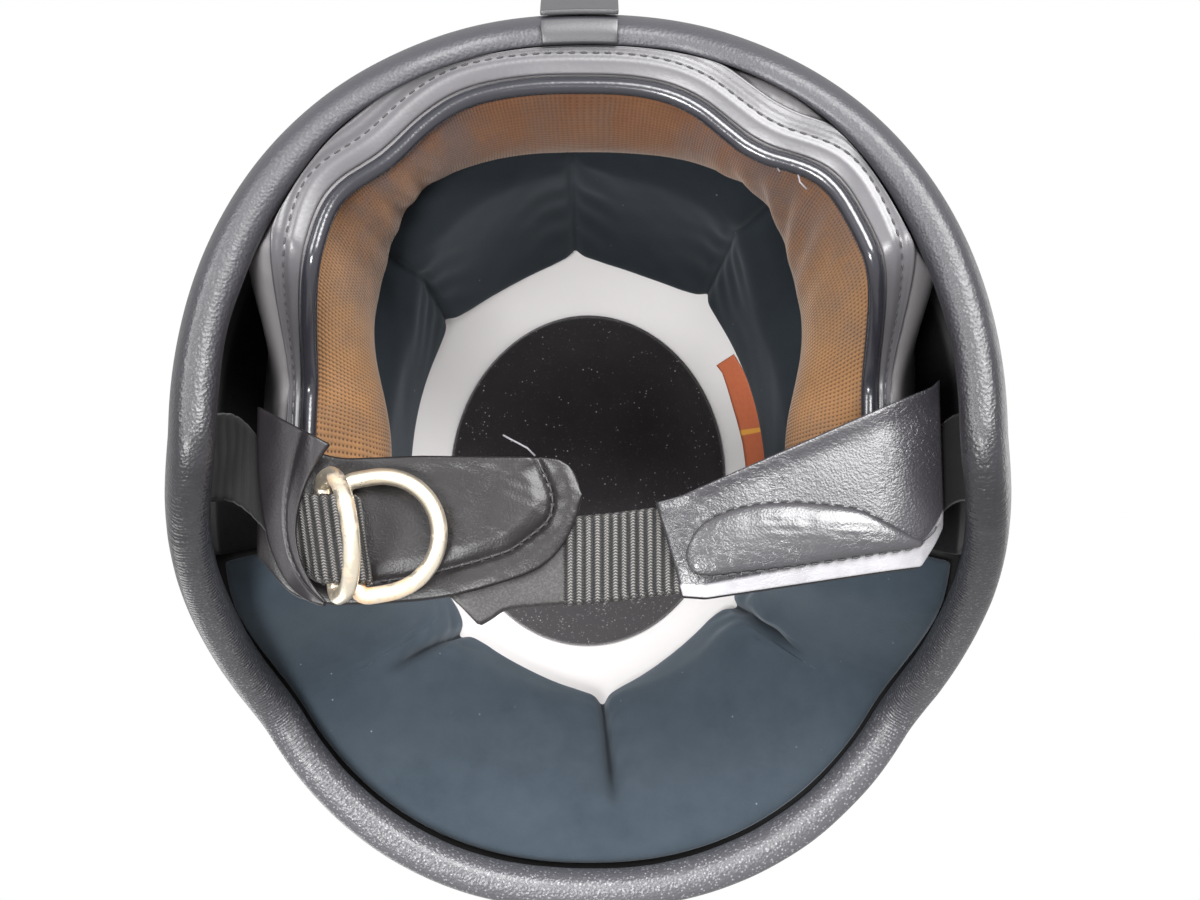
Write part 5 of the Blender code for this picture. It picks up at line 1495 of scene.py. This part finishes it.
def bandCourse(upper, lower):
    # the middle of the band's thickness as it runs round, and the way out from it, at every column
    around = np.concatenate([upper, lower, upper[:1]])
    far = walked(around)
    count = int(round(far[-1] / webbing["ribPitch"])) * webbing["perRib"]
    marks = np.linspace(0, far[-1], count + 1)[:-1]
    course = np.stack([np.interp(marks, far, around[:, i]) for i in range(2)], axis=1)
    for _ in range(3):
        course = (np.roll(course, 1, 0) + course * 2 + np.roll(course, -1, 0)) / 4
    run = unit(np.roll(course, -1, 0) - np.roll(course, 1, 0))
    out = np.stack([run[:, 1], -run[:, 0]], axis=1)
    if np.sum(out * (course - course.mean(0))) < 0:
        out = -out
    return course - out * webbing["thickness"] / 2, out, marks, far[-1]


def makeBand(name, node, body, upper, lower, place, ribShare):
    course, out, marks, length = bandCourse(upper, lower)
    count, sides = len(course), webbing["sides"]
    deselect()
    bpy.ops.mesh.primitive_torus_add(
        major_segments=count, minor_segments=sides, major_radius=1, minor_radius=0.25, generate_uvs=False
    )
    piece = started(name)
    flat = readSpots(piece)
    i = np.round(np.arctan2(flat[:, 1], flat[:, 0]) / (2 * np.pi / count)).astype(int) % count
    ring = np.arctan2(flat[:, 2], np.hypot(flat[:, 0], flat[:, 1]) - 1)
    j = np.round(ring / (2 * np.pi / sides)).astype(int) % sides
    half = sides // 2
    across = np.where(j < half, 1 - 2 * j / half, 2 * (j - half) / half - 1)
    away = np.where(j < half, 1.0, -1.0) * np.sqrt(np.clip(1 - np.abs(across) ** 14, 0, 1))
    sway = 0.0003 * np.sin(across * 2.3 + marks[i] * 190) + 0.00016 * np.sin(across * 5.1 + marks[i] * 610)
    rib = np.abs(np.sin(np.pi * (marks[i] + sway) / webbing["ribPitch"])) ** 0.55
    rib = rib * ribShare(course[i, 0])
    offset = away * webbing["thickness"] / 2 + np.where(away > 0, rib, 0) * webbing["ribHeight"]
    spots = course[i] + out[i] * offset[:, None]
    edge = across * (webbing["width"] / 2 + 0.00028 * (rib - 0.5))
    moveSpots(piece, place(spots[:, 0], spots[:, 1], edge))
    mapCloth(piece, np.stack([marks[i] / length, (across + 1) / 2], axis=1), (length, webbing["width"]))
    faceOutward()
    dress(piece, body, ribbed, node, slot="webbing")


def barTurn(sign):
    last = math.pi - math.asin(flatHalf / barLoop)
    return arc(strap["barMiddle"], strap["barHeight"], barLoop, 0, sign * last)


def makeLeftWebbing():
    start = strap["barMiddle"] - barLoop * 1.1
    x = np.linspace(start, loopFullX, webbing["leftColumns"])
    above = np.stack([x, leftHeight(x) + leftHalf(x)], axis=1)
    below = np.stack([x, leftHeight(x) - leftHalf(x)], axis=1)
    end = arc(ringOutsideX, dRing["height"], loopRadius, math.pi / 2, math.pi)
    endBelow = arc(ringOutsideX, dRing["height"], loopRadius, math.pi, 3 * math.pi / 2)
    upper = np.concatenate([barTurn(1), above, end])
    lower = np.concatenate([endBelow[1:], below[::-1], barTurn(-1)[::-1][:-1]])

    def place(x, z, edge):
        return spotsAt(x + edge * math.tan(dRing["skew"]) * skewShare(x), leftShift(x) + edge, z)

    makeBand("leftWebbingBand", "strap_webbing_left", "left_strap", upper, lower, place, np.ones_like)


def makeRightWebbing():
    start = strap["barMiddle"] - barLoop * 1.1
    x = np.linspace(start, rightStrap["tip"], webbing["rightColumns"])
    above = np.stack([x, rightHeight(x) + flatHalf], axis=1)
    below = np.stack([x, rightHeight(x) - flatHalf], axis=1)
    tip = arc(rightStrap["tip"], rightHeight(rightStrap["tip"]), flatHalf, math.pi / 2, 3 * math.pi / 2, 9)
    upper = np.concatenate([barTurn(1), above, tip[1:5]])
    lower = np.concatenate([tip[5:-1], below[::-1], barTurn(-1)[::-1][:-1]])

    def place(x, z, edge):
        # the doubled tail folds to a point at its front edge
        share = edge / webbing["width"] + 0.5
        rear, front = rightShift(x) + webbing["width"] / 2, rightShift(x) - webbing["width"] / 2
        inTail = ease((rightStrap["tailStart"] - x) / 0.006)
        front = front - np.interp(-x, *zip(*rightStrap["point"])) * inTail
        narrowed = ease((rightStrap["narrowStart"] - x) / rightStrap["narrowEase"])
        rear = between(rear, front + rightStrap["narrowWidth"], narrowed)
        return spotsAt(-x, between(front, rear, share), z + 0.0006 * np.sin(share * 9) * inTail)

    def ribShare(x):
        return ease((x - rightStrap["ribEnd"]) / rightStrap["ribEase"])

    makeBand("rightWebbingBand", "strap_webbing_right", "right_strap", upper, lower, place, ribShare)


def makeTab():
    start = strap["barMiddle"] - tab["start"]
    ends = start - tab["length"] * 0.55
    front = strap["middle"] + strap["leftShift"] - tab["width"] * 0.335
    rear = front + tab["width"]
    outer = [(ends, front), (start, front + tab["width"] * 0.06), (start, rear)]
    inner = [
        (ends - tab["length"] * 0.02, front + tab["width"] * 0.02),
        (start - tab["length"] * 0.08, between(front, rear, 0.36)),
        (ends - tab["length"] * 0.02, between(front, rear, 0.79)),
    ]

    def place(along, across, drop):
        share = across[:, None]
        flat = between(bezier(outer, share), bezier(inner, share), along[:, None])
        near = flat[:, 0] - webbing["width"] / 2 * math.tan(dRing["skew"])
        height = leftHeight(flat[:, 0]) - leftHalf(near) - softGap - drop
        return spotsAt(flat[:, 0], flat[:, 1], height)

    def lower(along, across):
        swell = tab["raised"] * np.clip(np.sin(np.pi * along), 0, 1) ** 0.5
        seam = tab["seamDepth"] * np.exp(-(((along - tab["seam"]) / tab["seamWidth"]) ** 2))
        flat = place(along, across, 0.0)
        return place(along, across, strap["leather"] + swell - seam + uneven(flat, tab["swells"]))

    def upper(along, across):
        return place(along, across, 0.0)

    piece = sewnSlab("leftTab", tab["columns"], tab["rows"], lower, upper, tab["cloth"], rawFrom=tab["rawEdge"])
    dress(piece, "left_strap", [loopLeather, rawEdge], "strap_tab_left", slot="strap_leather")
    across = np.linspace(*tab["seamEnds"], tab["seamSpots"])
    seam = lower(np.full_like(across, tab["seam"]), across)
    dress(stitched("tabStitches", seam, tabStitch), "left_strap", blackThread)


def flapHeight(x):
    overLoop = dRing["height"] + loopRadius + softGap
    start = leftHeight(x) + flatHalf + softGap
    level = between(start, overLoop, ease((strap["barMiddle"] - tab["start"] - x) / (tab["length"] * 0.5)))
    past = ease((ringOutsideX - loopRadius * 2 - x) / (flap["length"] * 0.55))
    return level - (loopRadius - dRing["wire"] / 2) * 1.3 * past


def besideLine(spots, line):
    # distance of each spot, in plan, from a line of points
    best = np.full(len(spots), 9.0)
    for a, b in zip(line, line[1:]):
        run = b - a
        share = np.clip(((spots - a) @ run) / (run @ run), 0, 1)
        best = np.minimum(best, np.linalg.norm(spots - a - share[:, None] * run, axis=1))
    return best


def makeFlap():
    start = strap["barMiddle"] - tab["start"]
    front = strap["middle"] + strap["leftShift"] - flap["width"] * 0.41
    seamLine = resampled(np.array([(x, y, 0.0) for x, y in flap["seam"]]), 0.0012)
    for _ in range(4):
        seamLine[1:-1] = (seamLine[:-2] + seamLine[1:-1] * 2 + seamLine[2:]) / 4

    def place(along, across):
        reach = np.sin(np.pi / 2 * along)
        x = start - flap["length"] * reach
        low = front + flap["width"] * smoothTable(flap["frontEdge"], reach)
        high = front + flap["width"] * smoothTable(flap["rearEdge"], reach)
        return spotsAt(x, between(low, high, across), flapHeight(x))

    def lower(along, across):
        spots = place(along, across)
        away = besideLine(spots[:, :2], seamLine[:, :2])
        seam = np.exp(-((away / flap["seamWidth"]) ** 2)) * flap["seamDepth"]
        rearFold = np.exp(-(((1 - across) / flap["foldWidth"]) ** 2)) * flap["foldDepth"]
        rearFold = rearFold * (1 - ease((along - 0.7) / 0.2))
        middle = np.clip(np.sin(np.pi * across), 0, 1) ** 0.6 * flap["swell"]
        creases = uneven(spots * flap["creaseDraw"], flap["creases"]) * ease((0.06 - spots[:, 0]) / 0.03)
        soft = uneven(spots, flap["swells"])
        drop = rearFold + middle * ease(away / 0.006) + soft + creases - seam
        spots[:, 2] -= np.maximum(drop, -0.0009)
        return spots

    def upper(along, across):
        spots = place(along, across)
        spots[:, 2] += strap["leather"]
        return spots

    piece = sewnSlab("chinFlap", flap["columns"], flap["rows"], lower, upper, flap["cloth"])
    dress(piece, "left_strap", strapLeather, "chin_flap_left", slot="strap_leather")

    seam = seamLine.copy()
    seam[:, 2] = flapHeight(seam[:, 0]) + flap["seamDepth"] * 0.55
    dress(stitched("flapStitches", seam, flapStitch), "left_strap", blackThread)
    loose = tube("looseFlapThread", np.array(flap["looseThread"]), flap["threadRadius"], sides=2)
    dress(loose, "left_strap", greyThread)


def sleeveEdge(along):
    x = strap["barMiddle"] - sleeve["start"] - sleeve["length"] * along
    width = between(sleeve["wide"], sleeve["narrow"], along)
    middle = rightShift(x)
    corner = sleeve["cornerWidth"] * np.maximum(0, 1 - along * sleeve["length"] / sleeve["cornerLength"])
    return x, middle - width / 2 + corner, middle + width / 2


def sleeveSpot(along, across):
    x, low, high = sleeveEdge(along)
    slant = sleeve["narrow"] * sleeve["slant"] * (across - 0.6) * along
    return spotsAt(slant - x, between(low, high, across), rightHeight(x - slant))


def sleeveSwell(across):
    return (1 - np.abs(across * 2 - 1) ** 3) * strap["leather"] * sleeve["puff"]


def leafSpot(share, across, drop):
    along = (leafPad["start"] + leafPad["length"] * share) / sleeve["length"]
    x, low, high = sleeveEdge(along)
    front, rear = smoothTable(leafPad["frontEdge"], share), smoothTable(leafPad["rearEdge"], share)
    onSleeve = between(front, rear, across)
    seat = rightHeight(x) - flatHalf - softGap * 2 - strap["leather"] - sleeveSwell(onSleeve)
    return spotsAt(-x, between(low, high, onSleeve), seat - drop)


def makeSleeve():
    def upper(along, across):
        spots = sleeveSpot(along, across)
        spots[:, 2] -= flatHalf + softGap
        return spots

    def lower(along, across):
        spots = sleeveSpot(along, across)
        rear = np.exp(-(((1 - across) / 0.09) ** 2)) * sleeve["rearRoll"]
        tucks = uneven(spots * sleeve["creaseDraw"], sleeve["creases"]) * ease((along - 0.72) / 0.2)
        soft = uneven(spots, sleeve["swells"])
        padShare = np.clip((along * sleeve["length"] - leafPad["start"]) / leafPad["length"], 0, 1)
        seam = smoothTable(leafPad["frontEdge"], padShare)
        strip = sleeve["stripSlope"] * np.clip(1 - across / seam, 0, 1)
        spots[:, 2] -= flatHalf + softGap + strap["leather"] + sleeveSwell(across) * 0.85 + rear + soft + tucks - strip
        return spots

    clothSize = (sleeve["length"], sleeve["girth"])
    piece = sewnSlab(
        "rightSleeve", sleeve["columns"], sleeve["rows"], lower, upper, clothSize, rawFrom=sleeve["rawEdge"]
    )
    dress(piece, "right_strap", [sleeveLeather, rawEdge], "strap_sleeve_right", slot="strap_leather")

    def backing(lift):
        def place(along, across):
            spots = sleeveSpot(along, across)
            spots[:, 2] += flatHalf + softGap + lift + uneven(spots, sleeve["backingSwells"]) * (lift > 0)
            return spots

        return place

    piece = sewnSlab(
        "rightSleeveBacking", sleeve["backingColumns"], sleeve["backingRows"], backing(0.0), backing(strap["leather"]),
        clothSize,
    )
    dress(piece, "right_strap", strapLeather, "strap_backing_right", slot="strap_leather")


def makeLeafPad():
    deselect()
    bpy.ops.mesh.primitive_uv_sphere_add(segments=leafPad["segments"], ring_count=leafPad["rings"], radius=1)
    pad = started("stuffedLeafPad")
    ball = readSpots(pad)
    half = np.sqrt(np.maximum(1e-5, 1 - ball[:, 0] ** 2))
    share, across = (1 + ball[:, 0]) / 2, (1 + ball[:, 1] / half) / 2
    crown = np.maximum(0, -ball[:, 2]) ** 0.62
    flat = leafSpot(share, across, 0.0)
    creases = uneven(flat * leafPad["creaseDraw"], leafPad["creases"])
    soft = (creases + uneven(flat, leafPad["swells"])) * crown
    moveSpots(pad, leafSpot(share, across, leafPad["crown"] * crown + soft))
    faceOutward()
    dress(pad, "right_strap", leafLeather, "strap_pad_right", slot="strap_leather")

    outward = np.linspace(0.01, 0.97, leafPad["seamSpots"])
    rearSeam = leafSpot(outward, 1 + leafPad["seamAside"], leafPad["seamDrop"])
    frontSeam = leafSpot(outward[::-1], -leafPad["seamAside"], leafPad["seamDrop"])
    line = resampled(np.concatenate([rearSeam, frontSeam]), 0.0008)
    dress(stitched("leafPadStitches", line, leafStitch), "right_strap", blackThread)
    tip = leafSpot(np.array([0.0]), 0.5, leafPad["threadDrop"])[0]
    loose = tube("leafPadThreadEnd", tip + np.array(leafPad["looseThread"]), leafPad["threadRadius"], sides=2)
    dress(loose, "right_strap", blackThread)


def ringCourse(barX, tilt):
    half = dRing["inside"] / 2 + dRing["wire"] / 2
    straight = dRing["reach"] - half
    turns = np.linspace(0, np.pi, 25)
    flat = list(zip(straight + half * np.sin(turns), half * np.cos(turns)))
    corner = dRing["corner"]
    flat += [(corner * 0.35, -half), (0.0, -half + corner * 0.35)]
    flat += [(0.0, share * half) for share in (-0.6, -0.3, 0.0, 0.3, 0.6)]
    flat += [(0.0, half - corner * 0.35), (corner * 0.35, half)]
    flat = np.array(flat)
    flat = resampled(np.stack([*np.concatenate([flat, flat[:1]]).T, np.zeros(len(flat) + 1)], axis=1), 0.0011)[:-1, :2]
    for _ in range(3):
        flat = (np.roll(flat, 1, 0) + 2 * flat + np.roll(flat, -1, 0)) / 4
    swung = spotsAt(-flat[:, 0] * math.cos(tilt), flat[:, 1], -flat[:, 0] * math.sin(tilt))
    cosine, sine = math.cos(dRing["skew"]), -math.sin(dRing["skew"])
    x, y, z = swung.T
    turned = spotsAt(x * cosine - y * sine, x * sine + y * cosine, z)
    return turned + np.array([barX, strap["middle"] + strap["leftShift"], dRing["height"]])


def makeRings():
    for word, barX, tilt in (("inner", ringInsideX, dRing["innerTilt"]), ("outer", ringOutsideX, dRing["outerTilt"])):
        piece = tube(f"{word}WireRing", ringCourse(barX, tilt), dRing["wire"] / 2, closed=True, sides=8)
        dress(piece, f"{word}_ring", nickel, f"d_ring_{word}", slot="worn_nickel")


makeLeftWebbing()
makeRightWebbing()
makeTab()
makeFlap()
makeSleeve()
makeLeafPad()
makeRings()
print("chin straps made")


# Goggle strap at the rear, softened from its solids, and the metal fittings

goggleStrap = {
    "bevel": 0.0005, "bevelSegments": 2, "sharp": math.radians(45), "weld": 0.00001, "insideEase": 0.004,
    "pressedEase": 0.010,
}


def softened(node, name, body):
    piece = bpy.data.objects.new(name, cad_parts[node].data.copy())
    bpy.context.scene.collection.objects.link(piece)
    take(piece)
    bpy.ops.object.mode_set(mode="EDIT")
    bpy.ops.mesh.select_all(action="SELECT")
    bpy.ops.mesh.remove_doubles(threshold=goggleStrap["weld"])
    bpy.ops.mesh.tris_convert_to_quads()
    bpy.ops.object.mode_set(mode="OBJECT")
    rounded = piece.modifiers.new("rounded", "BEVEL")
    rounded.width = goggleStrap["bevel"]
    rounded.segments = goggleStrap["bevelSegments"]
    rounded.angle_limit = goggleStrap["sharp"]
    smooth = piece.modifiers.new("smooth", "SUBSURF")
    smooth.levels = smooth.render_levels = 2
    applyAll(piece)
    return dress(piece, body, keeperVinyl, node, slot="strap_leather")


def makeGoggleStrap():
    root = softened("goggle_strap_root", "goggleStrapRoot", "helmet")
    # its inner end follows the trim, which the roll presses thinner there
    spots = readSpots(root)
    depth = (1 - shellField(spots)) / np.linalg.norm(fieldSlope(shellField, spots), axis=-1)
    inShell = ease((depth - helmet["wall"]) / goggleStrap["insideEase"])
    besideTrim = 1 - ease((spots[:, 2] - trim["lip"]) / goggleStrap["pressedEase"])
    spots[:, 1] += (trim["inner"] - trim["pressed"]) * inShell * besideTrim
    moveSpots(root, spots)
    softened("goggle_strap_flap", "goggleStrapFlap", "goggle_flap")


makeGoggleStrap()
metalNodes = ["strap_hanger_left", "strap_hanger_right", "strap_rivet_left", "strap_rivet_right"]
metalNodes += ["strap_washer_left", "strap_washer_right", "goggle_strap_rivet", "goggle_snap_cap", "goggle_snap_socket"]
metalNodes += ["goggle_snap_stud", "brow_snap_left", "brow_snap_centre", "brow_snap_right"]
for name in metalNodes:
    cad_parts[name].data.materials.clear()
    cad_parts[name].data.materials.append(steel)
print("goggle strap and metal fittings finished")


# Small things: the orange tag on the foam and the roll's loose threads

tag = {
    "inner": [
        (-0.0463, 0.0479, 0.1590), (-0.0480, 0.0447, 0.158), (-0.0520, 0.0330, 0.160), (-0.0555, 0.0200, 0.160),
        (-0.0570, 0.0080, 0.160),
    ],
    "outer": [
        (-0.0520, 0.0500, 0.150), (-0.0560, 0.0420, 0.149), (-0.0610, 0.0300, 0.149), (-0.0650, 0.0200, 0.145),
        (-0.0660, 0.0080, 0.145),
    ],
    "lift": 0.00025, "thickness": 0.0003, "cloth": (0.044, 0.012), "columns": 40, "rows": 10,
}
rollThreads = {
    "radius": 0.00025,
    "courses": [
        [(-0.0505, 0.0790, 0.0085), (-0.0513, 0.0764, 0.0080), (-0.0540, 0.0748, 0.0074), (-0.0555, 0.0722, 0.0078)],
        [(-0.0590, 0.0740, 0.0085), (-0.0608, 0.0715, 0.0078), (-0.0612, 0.0689, 0.0072), (-0.0632, 0.0668, 0.0076)],
    ],
}


def onFoam(spots, lift):
    # brought to the head space's surface along the line from its middle, then off it by the lift
    middle = np.array([0.0, 0.0, headSpace["top"] - 0.10])
    low, high = np.zeros(len(spots)), np.full(len(spots), 3.0)
    for _ in range(40):
        half = (low + high) / 2
        short = spaceField(middle + (spots - middle) * half[:, None]) < 1
        low, high = np.where(short, half, low), np.where(short, high, half)
    landed = middle + (spots - middle) * low[:, None]
    return landed - unit(fieldSlope(spaceField, landed)) * lift


def tagEdge(points, along):
    marks = np.linspace(0, 1, len(points))
    return np.stack([np.interp(along, marks, values) for values in zip(*points)], axis=1)


def makeTag():
    def sheet(lift):
        def place(along, across):
            flat = between(tagEdge(tag["inner"], along), tagEdge(tag["outer"], along), across[:, None])
            return onFoam(flat, lift)

        return place

    face, back = sheet(tag["lift"] + tag["thickness"]), sheet(tag["lift"])
    piece = sewnSlab("orangeFoamTag", tag["columns"], tag["rows"], face, back, tag["cloth"], levels=0)
    dress(piece, "helmet", orangeTag)


def makeRollThreads():
    for number, course in enumerate(rollThreads["courses"], start=1):
        loose = tube(f"looseRollThread{number}", np.array(course), rollThreads["radius"], sides=2)
        dress(loose, "helmet", greyThread)


makeTag()
makeRollThreads()
print("small things made")


# Camera, as the photograph: looking up into the helmet from below the rim

camera = {
    "tilt": math.radians(10), "target": (0, -0.011, 0), "distance": 0.557, "lens": 60, "sensor": 36, "shiftX": 0.01,
    "clipStart": 0.01,
}


def placeCamera():
    bpy.ops.object.camera_add()
    eye = bpy.context.object
    tilt = camera["tilt"]
    look = Vector((0, math.sin(tilt), math.cos(tilt)))
    up = Vector((0, math.cos(tilt), -math.sin(tilt)))
    right = look.cross(up)
    turn = Matrix((right, up, -look)).transposed().to_4x4()
    eye.matrix_world = Matrix.Translation(Vector(camera["target"]) - look * camera["distance"]) @ turn
    eye.data.sensor_width = camera["sensor"]
    eye.data.lens = camera["lens"]
    eye.data.shift_x = camera["shiftX"]
    eye.data.clip_start = camera["clipStart"]
    bpy.context.scene.camera = eye


placeCamera()


# Light: an even white room, soft boxes above, and soft boxes below that reach into the helmet

# its place, its width and its power
softBoxes = [
    ((-0.38, 0.50, -1.00), 0.75, 30),
    ((0.70, 0.35, -0.75), 0.45, 7),
    ((0.9, -0.9, 1.3), 0.9, 5),
    ((-1.1, 0.3, 1.1), 0.9, 2.5),
    ((0.36, -0.44, -1.05), 0.34, 15),
]
lightAim = Vector((0, 0, 0.09))
room = {"lit": 0.8, "seen": 1.0}
floorPlan = {"size": 8, "drop": 0.0002, "color": (0.86, 0.86, 0.86), "roughness": 0.9}


def placeLights():
    for place, size, power in softBoxes:
        bpy.ops.object.light_add(type="AREA", location=place)
        box = bpy.context.object
        box.data.shape = "DISK"
        box.data.size = size
        box.data.energy = power
        aim = lightAim - Vector(place)
        box.rotation_euler = aim.to_track_quat("-Z", "Y").to_euler()


def whiteRoom():
    walls = bpy.data.worlds.new("whiteRoom")
    bpy.context.scene.world = walls
    walls.use_nodes = True
    tree = walls.node_tree
    glow = tree.nodes["Background"]
    glow.inputs["Color"].default_value = (1, 1, 1, 1)
    seen = tree.nodes.new("ShaderNodeLightPath")
    level = tree.nodes.new("ShaderNodeMapRange")
    level.inputs["To Min"].default_value = room["lit"]
    level.inputs["To Max"].default_value = room["seen"]
    tree.links.new(seen.outputs["Is Camera Ray"], level.inputs["Value"])
    tree.links.new(level.outputs["Result"], glow.inputs["Strength"])


def placeFloor():
    # pale floor under the rim, seen from above only, so that the view from below looks past it
    deselect()
    bpy.ops.mesh.primitive_plane_add(size=floorPlan["size"], location=(0, 0, -floorPlan["drop"]))
    floor = started("paleFloor")
    ground = Finish("paleFloor", color=floorPlan["color"], roughness=floorPlan["roughness"])
    clear = ground.tree.nodes.new("ShaderNodeBsdfTransparent")
    under = ground.tree.nodes.new("ShaderNodeNewGeometry")
    either = ground.tree.nodes.new("ShaderNodeMixShader")
    ground.tree.links.new(under.outputs["Backfacing"], either.inputs[0])
    ground.tree.links.new(ground.shader.outputs[0], either.inputs[1])
    ground.tree.links.new(clear.outputs[0], either.inputs[2])
    ground.tree.links.new(either.outputs[0], ground.tree.nodes["Material Output"].inputs["Surface"])
    floor.data.materials.append(ground.material)
    floor.visible_shadow = False
    floor.visible_glossy = False
    floor.visible_diffuse = False


placeLights()
whiteRoom()
placeFloor()
bpy.context.scene.view_settings.view_transform = "Standard"
print("camera, lights and floor placed")
